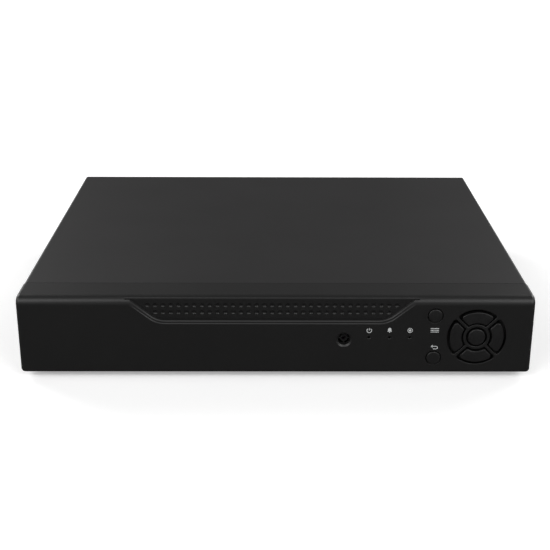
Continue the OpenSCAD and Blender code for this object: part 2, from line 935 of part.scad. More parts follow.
module drive_screws() {
    color([0.7, 0.7, 0.68]) for (hole = drive_holes)
        translate([hole[0], hole[1], base_z + drive_pad_h]) rotate([180, 0, 0]) difference() {
            union() {
                cylinder(r = 3.3, h = 1.7);
                translate([0, 0, -5]) cylinder(r = 1.7, h = 5 + eps);
            }
            translate([0, 0, 1.7]) cross_slot(3.4, 1);
        }
}

// Plug on the end of a flat lead, from x to x, around the lead's middle line
module lead_plug(from, to, y, width, height) {
    block([from, y - width / 2, lead_z - 0.5], [to, y + width / 2, lead_z + height + 0.5]);
}

module drive_data_lead() {
    color([0.7, 0.12, 0.1]) {
        flat_lead(data_route, 9, data_h);
        lead_plug(drive_end_x + 0.1, data_route[0][0] + 2, data_route[0][1], 12, data_h - 3);
        lead_plug(main_board_x[1] - 0.95, data_route[3][0] + 1, data_route[3][1], 7, data_h);
    }
}

module drive_power_lead() {
    color([0.15, 0.15, 0.15]) {
        flat_lead(power_route, 9, power_h);
        lead_plug(drive_end_x + 0.1, power_route[0][0] + 2, power_route[0][1], 22, power_h - 5);
        lead_plug(main_board_x[1] - 0.95, power_route[3][0] + 1, power_route[3][1], 7, power_h - 2);
    }
}

module front_panel_lead() {
    last = len(panel_route) - 1;
    color([0.5, 0.5, 0.52]) {
        flat_lead(panel_route, 5, panel_h);
        lead_plug(main_board_x[1] - 0.95, panel_route[last][0] + 1, panel_route[last][1], 7, panel_h - 2);
        block(
            [panel_route[0][0] - 3, panel_route[0][1], lead_z],
            [panel_route[0][0] + 3, panel_route[0][1] + 5, lead_z + panel_h]
        );
    }
}

// ---- Bayonet and audio output sockets ----

module bnc_shells() {
    lug_d = 2;
    lug_reach = 0.75;
    lug_z = bnc_reach - 4.6;
    color([0.72, 0.69, 0.64]) on_rear() for (place = bnc_places)
        translate([place[0], place[1], 0]) difference() {
            union() {
                translate([0, 0, bnc_back]) cylinder(d = bnc_flange_d, h = 3 - bnc_back);
                cylinder(d = bnc_d, h = bnc_reach);
                translate([-bnc_d / 2 - lug_reach, 0, lug_z])
                    rotate([0, 90, 0]) cylinder(d = lug_d, h = bnc_d + 2 * lug_reach);
            }
            translate([0, 0, bnc_reach - bnc_bore_depth]) cylinder(d = bnc_bore_d, h = bnc_bore_depth + 1);
            translate([0, 0, bnc_back - 1]) cylinder(d = 5.1, h = bnc_reach);
        }
}

module bnc_insulators() {
    color([0.85, 0.82, 0.72]) on_rear() for (place = bnc_places)
        translate([place[0], place[1], 0]) difference() {
            union() {
                translate([0, 0, bnc_back]) cylinder(d = 5, h = bnc_reach - 1.2 - bnc_back);
                translate([0, 0, bnc_reach - bnc_bore_depth + 0.05]) cylinder(d = bnc_bore_d - 0.1, h = 4);
            }
            translate([0, 0, bnc_back - 1]) cylinder(d = 2.3, h = bnc_reach + 5);
        }
}

module bnc_contacts() {
    color([0.8, 0.68, 0.4]) on_rear() for (place = bnc_places)
        translate([place[0], place[1], 0]) difference() {
            translate([0, 0, bnc_back]) cylinder(d = 2.2, h = bnc_reach - 2 - bnc_back);
            translate([0, 0, bnc_reach - 7]) cylinder(d = 1.1, h = 8);
        }
}

module jack_housings() {
    depth = 13;
    color([0.1, 0.1, 0.1]) on_rear() for (x = concat(bnc_columns, [output_x]))
        slab([x, (board_top + 36.4) / 2], [14.6, 36.4 - board_top], bnc_back - depth, bnc_back - 0.02);
}

module audio_out_shell() {
    color([0.72, 0.7, 0.66]) on_rear()
        translate([audio_out_place[0], audio_out_place[1], 0]) difference() {
            union() {
                translate([0, 0, bnc_back]) cylinder(d = 12.2, h = 2.2 - bnc_back);
                cylinder(d = phono_d, h = phono_out_reach);
            }
            translate([0, 0, bnc_back - 1]) cylinder(d = 6.6, h = phono_out_reach + 8);
        }
}

module audio_out_insulator() {
    color([0.1, 0.1, 0.1]) on_rear()
        translate([audio_out_place[0], audio_out_place[1], 0]) difference() {
            translate([0, 0, bnc_back]) cylinder(d = 6.5, h = phono_out_reach - 0.5 - bnc_back);
            translate([0, 0, phono_out_reach - 9]) cylinder(d = 3.3, h = 10);
        }
}

// ---- Audio inputs ----

module audio_in_block() {
    depth = 15;
    front = -wall_back - 0.05;
    color([0.09, 0.09, 0.09]) on_rear() difference() {
        union() {
            slab(phono_centre, [28, 28], front - depth, front);
            slab(
                [phono_centre[0], (board_top + phono_centre[1]) / 2],
                [24, phono_centre[1] - board_top], front - depth, front
            );
            for (place = phono_places)
                post(place, phono_ring_d, front - 1, phono_ring_h);
        }
        for (place = phono_places)
            post(place, phono_d - 0.3, front - 8, phono_ring_h + 1);
        post(phono_centre, 2 * screw_bore_r, front - 8, front + 1);
    }
}

module audio_in_barrels() {
    color([0.7, 0.7, 0.7]) on_rear() for (place = phono_places)
        difference() {
            union() {
                post(place, phono_d, phono_ring_h, phono_reach - 0.8);
                post(place, phono_d - 0.4, -9.2, phono_ring_h + eps);
            }
            post(place, 6.7, -9.3, phono_reach + 1);
        }
}

// Coloured tip of an audio input: a sleeve in the barrel with a rim over its end
module phono_insert(place) {
    difference() {
        union() {
            post(place, 6.6, -9.2, phono_reach);
            post(place, phono_d, phono_reach - 0.75, phono_reach);
        }
        post(place, 3.4, -8, phono_reach + 1);
    }
}

module white_inserts() {
    color([0.92, 0.92, 0.9]) on_rear() for (i = [0, 1])
        phono_insert(phono_places[i]);
}

module red_inserts() {
    color([0.72, 0.06, 0.1]) on_rear() for (i = [2, 3])
        phono_insert(phono_places[i]);
}

// ---- Display and digital video sockets ----

module display_shell() {
    flange = [30.8, 12.4];
    front = -wall_back - 0.05;
    color([0.74, 0.73, 0.7]) on_rear() translate([display_place[0], display_place[1], 0]) difference() {
        union() {
            slab([0, 0], flange, front - 0.8, front);
            translate([0, 0, front - 0.5]) linear_extrude(display_reach - front + 0.5) d_outline(display_size);
        }
        translate([0, 0, front - 2])
            linear_extrude(display_reach + 5) d_outline(display_size - [0.9, 0.9], 1.3);
        for (side = [-1, 1])
            post([side * jackscrew_pitch / 2, 0], 3.4, front - 2, front + 1);
    }
}

// Blue body of the display socket, with its 15 contact holes, on two legs over the socket below
module display_insert() {
    front = -wall_back - 0.9;
    low = board_top - display_place[1];
    pin_pitch = 2.29;
    row_pitch = 1.98;
    color([0.1, 0.3, 0.75]) on_rear() translate([display_place[0], display_place[1], 0]) difference() {
        union() {
            slab([0, 0], [30.6, 12.2], front - 10, front);
            for (side = [-1, 1])
                block([side * 14.1 - 1.1, low, front - 10], [side * 14.1 + 1.1, 0, front]);
            translate([0, 0, front - 1])
                linear_extrude(display_reach - 0.5 - front + 1) d_outline(display_size - [1.9, 1.9], 1.1);
        }
        for (row = [-1 : 1], pin = [-2 : 2])
            post([(pin + (row == 0 ? 0.5 : 0)) * pin_pitch - 0.3, row * row_pitch], 1, display_reach - 5, display_reach);
        for (side = [-1, 1])
            post([side * jackscrew_pitch / 2, 0], 3.6, front - 7, front + 1);
    }
}

module display_jackscrews() {
    across = 4.75;
    floor_h = 1.2;
    shank_r = 1.2;
    shank_l = 7;
    color([0.76, 0.75, 0.72]) on_rear() for (side = [-1, 1])
        translate([display_place[0] + side * jackscrew_pitch / 2, display_place[1], 0]) difference() {
            union() {
                cylinder(d = across / cos(30), h = jackscrew_h, $fn = 6);
                translate([0, 0, -shank_l]) cylinder(r = shank_r, h = shank_l + eps);
            }
            translate([0, 0, floor_h]) cylinder(r = jackscrew_hole_r, h = jackscrew_h);
        }
}

module video_shell() {
    wall = 0.45;
    color([0.2, 0.2, 0.2]) on_rear() translate([video_place[0], video_place[1], 0]) difference() {
        translate([0, 0, -11]) linear_extrude(11.4) video_outline(video_size);
        translate([0, 0, -10.4]) linear_extrude(12) video_outline(video_size - 2 * [wall, wall]);
    }
}

module video_tongue() {
    color([0.08, 0.08, 0.08]) on_rear() {
        slab(video_place + [0, 0.2], [10.4, 1.7], -9.6, -0.6);
        slab(video_place + [0, 0.45], [12.6, 3.7], -10.35, -9.5);
    }
}

// ---- Network and USB sockets ----

// Openings in the face of the stacked socket, as a flat drawing
module stack_openings(extra) {
    translate(plug_place) square(plug_size + [extra, extra], center = true);
    translate(plug_place + [0, (plug_size[1] + latch_size[1]) / 2 - 0.1])
        square(latch_size + [extra, 0.2 + extra], center = true);
    for (place = usb_places)
        translate(place) square(usb_size + [extra, extra], center = true);
}

module lamp_windows(extra) {
    for (place = lamp_places)
        translate(place) square(lamp_size + [extra, extra], center = true);
}

module network_usb_shell() {
    wall = 0.3;
    color([0.6, 0.57, 0.5]) on_rear() difference() {
        slab(stack_place, stack_size, stack_reach - stack_depth, stack_reach);
        slab(
            stack_place, stack_size - 2 * [wall, wall],
            stack_reach - stack_depth - 1, stack_reach - wall
        );
        translate([0, 0, -2]) linear_extrude(5) {
            stack_openings(0);
            lamp_windows(0);
        }
    }
}

module network_usb_insert() {
    front = stack_reach - 0.32;
    tongue = [11, 1.8];
    color([0.1, 0.1, 0.1]) on_rear() {
        difference() {
            slab(stack_place, stack_size - [0.7, 0.7], stack_reach - stack_depth, front);
            translate([0, 0, front - 14]) linear_extrude(15) stack_openings(0.3);
            translate([0, 0, front - 2]) linear_extrude(4) lamp_windows(0.1);
        }
        for (place = usb_places)
            slab(place + [0, 0.6], tongue, front - 14.05, front - 1.2);
    }
}

module network_lamps() {
    color([0.6, 0.75, 0.2]) on_rear() for (place = lamp_places)
        slab(place, lamp_size - [0.05, 0.05], stack_reach - 2.2, stack_reach - 0.1);
}

// ---- Terminal block and power jack ----

module terminal_block() {
    color([0.15, 0.5, 0.25]) on_rear() difference() {
        union() {
            slab(terminal_place, terminal_size, -9, 0.3);
            slab(
                [terminal_place[0], (board_top + terminal_place[1]) / 2],
                [terminal_size[0], terminal_place[1] - board_top], -9, -2.4
            );
        }
        for (side = [-1, 1])
            slab(terminal_place + [side * terminal_pitch / 2, 0.2], [3.1, 4.8], -7.4, 1);
    }
}

module terminal_pins() {
    color([0.78, 0.76, 0.7]) on_rear() for (side = [-1, 1])
        slab(terminal_place + [side * terminal_pitch / 2, 0.2], [1, 1], -7.38, -1);
}

module power_jack() {
    color([0.08, 0.08, 0.08]) on_rear() difference() {
        slab(power_place, power_size, -13, 0.4);
        post([power_place[0], power_hole_z], power_hole_d, -9.5, 1);
    }
}

module power_jack_pin() {
    tip = 0.6;
    color([0.8, 0.79, 0.75]) on_rear() {
        post([power_place[0], power_hole_z], power_pin_d, -9.48, -0.6 - tip);
        translate([power_place[0], power_hole_z, -0.6 - tip]) cylinder(d1 = power_pin_d, d2 = 1.2, h = tip);
    }
}

top_cover();
chassis_base();
rear_label();
front_bezel();
rubber_feet();
cover_screws();
key_up();
key_down();
key_left();
key_right();
key_ok();
key_menu();
key_esc();
plunger_up();
plunger_down();
plunger_left();
plunger_right();
plunger_ok();
plunger_menu();
plunger_esc();
key_board();
switch_bodies();
status_lamps();
remote_receiver();
lead_sockets();
main_board();
board_standoffs();
pan_screws();
video_processor();
heat_sink();
memory_chips();
coin_cell();
alarm_buzzer();
hard_drive();
drive_screws();
drive_data_lead();
drive_power_lead();
front_panel_lead();
bnc_shells();
bnc_insulators();
bnc_contacts();
jack_housings();
audio_out_shell();
audio_out_insulator();
audio_in_block();
audio_in_barrels();
white_inserts();
red_inserts();
display_shell();
display_insert();
display_jackscrews();
video_shell();
video_tongue();
network_usb_shell();
network_usb_insert();
network_lamps();
terminal_block();
terminal_pins();
power_jack();
power_jack_pin();
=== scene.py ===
"""Looks of a small digital video recorder: a low steel case, a moulded front bezel with a key pad, and a
rear wall of video, audio, network and power sockets.

Drawings are in millimetres in two local frames, one on the bezel's front face and one on the rear label.
In both, u is to the viewer's right, v is up from the bottom of the case and w is out of the face.
"""
import json
import math

import bmesh
import bpy
from mathutils import Matrix, Vector
from mathutils.geometry import tessellate_polygon


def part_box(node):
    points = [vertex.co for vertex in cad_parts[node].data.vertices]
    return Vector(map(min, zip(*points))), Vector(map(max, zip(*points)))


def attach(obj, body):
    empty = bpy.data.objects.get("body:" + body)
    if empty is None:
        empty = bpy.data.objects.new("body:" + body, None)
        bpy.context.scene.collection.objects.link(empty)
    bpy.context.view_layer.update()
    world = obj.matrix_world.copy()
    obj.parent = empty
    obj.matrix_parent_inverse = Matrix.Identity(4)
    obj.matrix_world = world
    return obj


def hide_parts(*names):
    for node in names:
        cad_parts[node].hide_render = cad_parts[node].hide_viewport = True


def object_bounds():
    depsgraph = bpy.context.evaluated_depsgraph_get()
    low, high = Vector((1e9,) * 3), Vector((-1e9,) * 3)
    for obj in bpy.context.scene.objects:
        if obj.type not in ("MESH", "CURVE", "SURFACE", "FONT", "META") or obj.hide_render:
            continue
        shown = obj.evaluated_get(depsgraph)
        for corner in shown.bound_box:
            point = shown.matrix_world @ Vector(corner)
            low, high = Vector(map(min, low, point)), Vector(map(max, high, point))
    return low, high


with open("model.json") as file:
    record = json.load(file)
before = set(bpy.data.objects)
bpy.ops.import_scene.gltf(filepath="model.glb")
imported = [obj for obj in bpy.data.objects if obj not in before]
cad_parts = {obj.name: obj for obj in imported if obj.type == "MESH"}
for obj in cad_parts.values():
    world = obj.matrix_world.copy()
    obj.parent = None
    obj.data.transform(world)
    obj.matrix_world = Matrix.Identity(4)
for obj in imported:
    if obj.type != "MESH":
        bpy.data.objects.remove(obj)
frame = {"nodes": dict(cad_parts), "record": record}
cad_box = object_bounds()

MM = 0.001
NODES = frame["nodes"]
SLOT_OF = {row["node"]: row["material_slot"] for row in frame["record"]["subparts"]}
BODY_OF = {node: body for body, names in frame["record"]["behaviour"]["bodies"].items() for node in names}

bezel_low, bezel_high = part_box("front_bezel")
label_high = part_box("rear_label")[1]
cover_low, cover_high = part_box("top_cover")
feet_low, feet_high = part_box("rubber_feet")


def face_frame(y, side):
    """Local frame on a face at that depth; u runs along +X for side 1 and along -X for side -1."""
    axes = Matrix(((side, 0, 0, 0), (0, 0, -side, 0), (0, 1, 0, 0), (0, 0, 0, 1)))
    return Matrix.Translation((0, y, bezel_low.z)) @ axes @ Matrix.Scale(MM, 4)


FRONT = face_frame(bezel_low.y, 1)
REAR = face_frame(label_high.y, -1)
UPRIGHT = Matrix.Scale(MM, 4)


# ---- Outlines ----


def arc(centre, radius, start, end, steps):
    """Points of an arc, both ends included, with its angles in degrees."""
    turns = [math.radians(start + (end - start) * i / steps) for i in range(steps + 1)]
    return [(centre[0] + radius * math.cos(a), centre[1] + radius * math.sin(a)) for a in turns]


def circle(centre, radius, steps=40):
    return arc(centre, radius, 0, 360 * (1 - 1 / steps), steps - 1)


def box_outline(low, high, r=0.0, steps=5):
    """Rectangle with round corners."""
    if r <= 0:
        return [low, (high[0], low[1]), high, (low[0], high[1])]
    corners = [
        ((high[0] - r, low[1] + r), -90),
        ((high[0] - r, high[1] - r), 0),
        ((low[0] + r, high[1] - r), 90),
        ((low[0] + r, low[1] + r), 180),
    ]
    return [p for centre, start in corners for p in arc(centre, r, start, start + 90, steps)]


def centred(place, size, r=0.0):
    """Rectangle around a place."""
    half_u = size[0] / 2
    half_v = size[1] / 2
    return box_outline((place[0] - half_u, place[1] - half_v), (place[0] + half_u, place[1] + half_v), r)


def bend(start, corner, end, steps):
    """Points of a short curve that leaves its start, and reaches its end, along the lines to a corner."""
    turns = [k / steps for k in range(steps + 1)]
    return [tuple((1 - t) ** 2 * start + 2 * t * (1 - t) * corner + t * t * end) for t in turns]


def eased(points, cut, closed=True):
    """The corners of a line turned by short curves that start `cut` away from each corner."""
    count = len(points)
    made = []
    for i, p in enumerate(points):
        if not closed and i in (0, count - 1):
            made.append(tuple(p))
            continue
        here = Vector(p)
        before = Vector(points[i - 1]) - here
        after = Vector(points[(i + 1) % count]) - here
        reach = min(cut, 0.45 * before.length, 0.45 * after.length)
        made += bend(here + before.normalized() * reach, here, here + after.normalized() * reach, 2)
    return made


def stroke(points, width):
    """Outline of a line of the given width."""
    line = [Vector(p) for p in points]
    left = []
    right = []
    for i, p in enumerate(line):
        ways = [(p - q).normalized() for q in line[max(0, i - 1):i]]
        ways += [(q - p).normalized() for q in line[i + 1:i + 2]]
        way = sum(ways, Vector((0, 0))).normalized()
        normal = Vector((-way.y, way.x))
        spread = width / 2 / max(0.5, abs(way.dot(ways[0])))
        left.append(tuple(p + normal * spread))
        right.append(tuple(p - normal * spread))
    return left + right[::-1]


def sector_outline(r_in, r_out, gap, round_in, round_out, turn=0.0):
    """Part of a ring round +V between its two diagonals, `gap` away from each, with round corners."""
    along = Vector((1, 1)).normalized()
    across = Vector((-along.y, along.x))

    def corner(distance, radius):
        off = gap + radius
        return along * math.sqrt(distance**2 - off**2) + across * off

    outer = corner(r_out - round_out, round_out)
    inner = corner(r_in + round_in, round_in)
    to_outer = math.degrees(math.atan2(outer.y, outer.x))
    to_inner = math.degrees(math.atan2(inner.y, inner.x))
    half = arc((0, 0), r_in, 90, to_inner, 10)
    half += arc(inner, round_in, to_inner + 180, 315, 5)[1:]
    half += arc(outer, round_out, -45, to_outer, 5)
    half += arc((0, 0), r_out, to_outer, 90, 14)[1:]
    whole = half + [(-x, y) for x, y in half[-2:0:-1]]
    c = math.cos(math.radians(turn))
    s = math.sin(math.radians(turn))
    return [(c * x - s * y, s * x + c * y) for x, y in whole]


def moved(points, by):
    return [(x + by[0], y + by[1]) for x, y in points]


# ---- Solids ----


def add_prism(bm, loops, low, high):
    """Closed plate between two heights; the first loop is its outline and the others are its holes."""
    faces = tessellate_polygon([[Vector((x, y, 0)) for x, y in loop] for loop in loops])
    points = [p for loop in loops for p in loop]
    bottom = [bm.verts.new((x, y, low)) for x, y in points]
    top = [bm.verts.new((x, y, high)) for x, y in points]
    for a, b, c in faces:
        bm.faces.new((top[a], top[b], top[c]))
        bm.faces.new((bottom[c], bottom[b], bottom[a]))
    start = 0
    for loop in loops:
        for i in range(len(loop)):
            k = start + i
            j = start + (i + 1) % len(loop)
            bm.faces.new((bottom[k], bottom[j], top[j], top[k]))
        start += len(loop)


def join_rings(bm, rings):
    """Faces between rings of vertices, each as long as the next."""
    for near, far in zip(rings, rings[1:]):
        for i in range(len(near)):
            j = (i + 1) % len(near)
            bm.faces.new((near[i], near[j], far[j], far[i]))


def skin(bm, rings):
    """Closed solid through rings of vertices."""
    join_rings(bm, rings)
    bm.faces.new(rings[0][::-1])
    bm.faces.new(rings[-1])


def layer_rings(bm, layers):
    """Rings of vertices from outlines, each given with its height."""
    return [[bm.verts.new((x, y, w)) for x, y in outline] for outline, w in layers]


def add_lathe(bm, profile, centre=(0.0, 0.0), segments=56, turn=None):
    """Turns a closed profile of (radius, height) points round an axis along w."""
    rings = []
    for r, w in profile:
        count = 1 if r < 1e-6 else segments
        spots = []
        for k in range(count):
            a = 2 * math.pi * k / segments
            spot = Vector((centre[0] + r * math.cos(a), centre[1] + r * math.sin(a), w))
            spots.append(bm.verts.new(turn @ spot if turn else spot))
        rings.append(spots)
    for i, lower in enumerate(rings):
        upper = rings[(i + 1) % len(rings)]
        if len(lower) == 1 and len(upper) == 1:
            continue
        for k in range(segments):
            j = (k + 1) % segments
            corners = [lower[k % len(lower)], lower[j % len(lower)]]
            corners += [upper[j % len(upper)], upper[k % len(upper)]]
            bm.faces.new(list(dict.fromkeys(corners)))


def add_block(bm, low, high, ease=0.0):
    """Box between two corners, with eased edges."""
    made = bmesh.ops.create_cube(bm, size=1.0)["verts"]
    size = [h - l for l, h in zip(low, high)]
    middle = [(h + l) / 2 for l, h in zip(low, high)]
    for v in made:
        v.co = Vector([v.co[i] * size[i] + middle[i] for i in range(3)])
    if ease > 0:
        edges = list({e for v in made for e in v.link_edges})
        bmesh.ops.bevel(bm, geom=edges, offset=ease, segments=2, affect="EDGES", profile=0.5)


def mark_sharp(bm, angle):
    for face in bm.faces:
        face.smooth = True
    for edge in bm.edges:
        if len(edge.link_faces) == 2:
            edge.smooth = edge.calc_face_angle(0.0) < math.radians(angle)


def weigh_normals(obj):
    obj.modifiers.new("Even shading", "WEIGHTED_NORMAL").keep_sharp = True


def add_object(name, bm):
    """Object with the mesh that was drawn in bm."""
    mesh = bpy.data.meshes.new(name)
    bm.to_mesh(mesh)
    bm.free()
    obj = bpy.data.objects.new(name, mesh)
    bpy.context.scene.collection.objects.link(obj)
    return obj


def make_piece(name, bm, place, surface, body="root", slot=None, stands_for=None, angle=32.0):
    """Piece from a local drawing, riding on a body, with that surface; slot is not used."""
    bm.transform(place)
    bmesh.ops.recalc_face_normals(bm, faces=bm.faces)
    mark_sharp(bm, angle)
    obj = add_object(name, bm)
    obj.data.materials.append(look(surface))
    weigh_normals(obj)
    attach(obj, body)
    slot = slot or surface
    if stands_for:
        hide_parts(stands_for)


def subtract(bm, cutters):
    """The first solid without the cutters, in local units."""
    for source in (bm, cutters):
        bmesh.ops.recalc_face_normals(source, faces=source.faces)
    objects = [add_object("solid", bm), add_object("solid", cutters)]
    cut = objects[0].modifiers.new("Cut", "BOOLEAN")
    cut.operation = "DIFFERENCE"
    cut.solver = "EXACT"
    cut.object = objects[1]
    cut.use_self = True
    bpy.context.view_layer.update()
    result = bmesh.new()
    result.from_object(objects[0], bpy.context.evaluated_depsgraph_get())
    for obj in objects:
        mesh = obj.data
        bpy.data.objects.remove(obj)
        bpy.data.meshes.remove(mesh)
    bmesh.ops.remove_doubles(result, verts=result.verts, dist=1e-4)
    return result


def soften(node, width):
    """Small rounded edges on a carried-over CAD node, by modifiers alone."""
    obj = NODES[node]
    weld = obj.modifiers.new("Weld", "WELD")
    weld.merge_threshold = 1e-6
    flat = obj.modifiers.new("Flat", "DECIMATE")
    flat.decimate_type = "DISSOLVE"
    flat.angle_limit = math.radians(0.6)
    bevel = obj.modifiers.new("Edges", "BEVEL")
    bevel.width = width * MM
    bevel.segments = 2
    bevel.limit_method = "ANGLE"
    bevel.angle_limit = math.radians(40)
    bevel.harden_normals = True
    weigh_normals(obj)


# ---- Materials ----


class Graph:
    """The node tree of a material or a world, with short calls for the nodes that it uses often."""

    def __init__(self, owner, shader="BSDF_PRINCIPLED"):
        owner.use_nodes = True
        self.tree = owner.node_tree
        self.shader = next(n for n in self.tree.nodes if n.type == shader)

    def feed(self, socket, value):
        """Links another node's output, or sets a plain value."""
        if isinstance(value, bpy.types.NodeSocket):
            self.tree.links.new(value, socket)
        else:
            socket.default_value = value

    def fill(self, node, **inputs):
        """Feeds a node's inputs; an underscore stands for a space."""
        for name, value in inputs.items():
            self.feed(node.inputs[name.replace("_", " ")], value)

    def node(self, kind, **inputs):
        made = self.tree.nodes.new("ShaderNode" + kind)
        self.fill(made, **inputs)
        return made

    def noise(self, size_mm, detail=2.0, stretch=None):
        spot = self.node("TexCoord").outputs["Object"]
        if stretch:
            spot = self.node("Mapping", Vector=spot, Scale=stretch).outputs["Vector"]
        return self.node("TexNoise", Vector=spot, Scale=1 / (size_mm * MM), Detail=detail).outputs["Fac"]

    def spread(self, value, low, high, from_low=0.3, from_high=0.7):
        """Carries a value from one range to another."""
        limits = dict(From_Min=from_low, From_Max=from_high, To_Min=low, To_Max=high)
        return self.node("MapRange", Value=value, **limits).outputs["Result"]

    def mix(self, fac, a, b):
        """Blend of two colours, each given with its alpha or as another node's output."""
        node = self.node("Mix")
        node.data_type = "RGBA"
        self.fill(node, Factor=fac, A=a, B=b)
        return node.outputs["Result"]

    def math(self, kind, a, b):
        node = self.node("Math")
        node.operation = kind
        self.feed(node.inputs[0], a)
        self.feed(node.inputs[1], b)
        return node.outputs["Value"]

    def edges(self, radius_mm):
        """1 along rounded or sharp outer edges and 0 on open faces."""
        dot = self.node("VectorMath")
        dot.operation = "DOT_PRODUCT"
        self.feed(dot.inputs[0], self.node("Bevel", Radius=radius_mm * MM).outputs["Normal"])
        self.feed(dot.inputs[1], self.node("NewGeometry").outputs["Normal"])
        return self.spread(dot.outputs["Value"], 1.0, 0.0, 0.80, 0.985)

    def bump(self, height, strength, distance_mm):
        inputs = dict(Height=height, Strength=strength, Distance=distance_mm * MM)
        return self.node("Bump", **inputs).outputs["Normal"]

    def shade(self, **inputs):
        self.fill(self.shader, **inputs)


def tinted(color, by=1.0):
    """Colour with its alpha, lighter or darker."""
    return (*(max(0.0, min(1.0, c * by)) for c in color), 1.0)


# Edge constants: the lighter edges stand partly for abrasion and partly for a painted highlight.
WEAR_AND_HIGHLIGHT_EDGE_R = 0.35
WEAR_AND_HIGHLIGHT_PATCH = 3.0
WORN_POLISH = 0.12
COAT_ROUGH = 0.12


def make_surface(
    name, color, rough, metallic=0.0, specular=0.5, mottle=0.1, patch=14.0, uneven=0.06, grain=0.4,
    pitch=0.5, relief=0.02, brushed=None, edge_wear_and_highlight=0.0, wear_and_highlight_color=None, coat=0.0,
):
    """Procedural surface: mottled colour and gloss, fine grain, and edges lightened by abrasion and by a
    painted highlight.

    In millimetres, `patch` is the size of the mottling, `pitch` that of the grain and `relief` its depth;
    `uneven` is how far the gloss varies and `wear_and_highlight_color` the colour of the edges, lightened by
    abrasion and by a painted highlight.
    """
    material = bpy.data.materials.new(name)
    g = Graph(material)
    large = g.noise(patch, detail=3.0)
    fine = g.noise(pitch * 2.5, detail=1.0)
    base = g.mix(g.spread(large, 0.0, 1.0), tinted(color, 1 - mottle), tinted(color, 1 + mottle))
    base = g.mix(g.spread(fine, 0.0, 0.35), base, tinted(color, 1 - 1.5 * mottle))
    gloss = g.spread(g.noise(patch * 0.6, detail=4.0), rough - uneven, rough + uneven)
    # Lighter edges, partly abrasion and partly a painted highlight along every outer edge.
    if edge_wear_and_highlight > 0:
        wear_and_highlight_noise = g.spread(g.noise(WEAR_AND_HIGHLIGHT_PATCH, detail=3.0), 0.3 * edge_wear_and_highlight, edge_wear_and_highlight)
        wear_and_highlight_mask = g.math("MULTIPLY", g.edges(WEAR_AND_HIGHLIGHT_EDGE_R), wear_and_highlight_noise)
        base = g.mix(wear_and_highlight_mask, base, tinted(wear_and_highlight_color))
        gloss = g.math("SUBTRACT", gloss, g.math("MULTIPLY", wear_and_highlight_mask, WORN_POLISH))
    normal = g.bump(g.noise(pitch, stretch=brushed), grain, relief)
    g.shade(Base_Color=base, Roughness=gloss, Normal=normal, Metallic=metallic, Specular_IOR_Level=specular)
    if coat:
        g.shade(Coat_Weight=coat, Coat_Roughness=COAT_ROUGH)
    return material


BRUSHED = (1.0, 1.0, 0.08)
PAINT = dict(rough=0.5, grain=0.5, pitch=0.55, relief=0.03, edge_wear_and_highlight=0.5)
MOULDED = dict(patch=3, grain=0.15, pitch=0.2, relief=0.006)
SOCKET = dict(mottle=0.12, patch=6, grain=0.3, relief=0.012, edge_wear_and_highlight=0.4)
LEAD = dict(rough=0.5, patch=5, grain=0.3)
INK = dict(grain=0.2, relief=0.008)
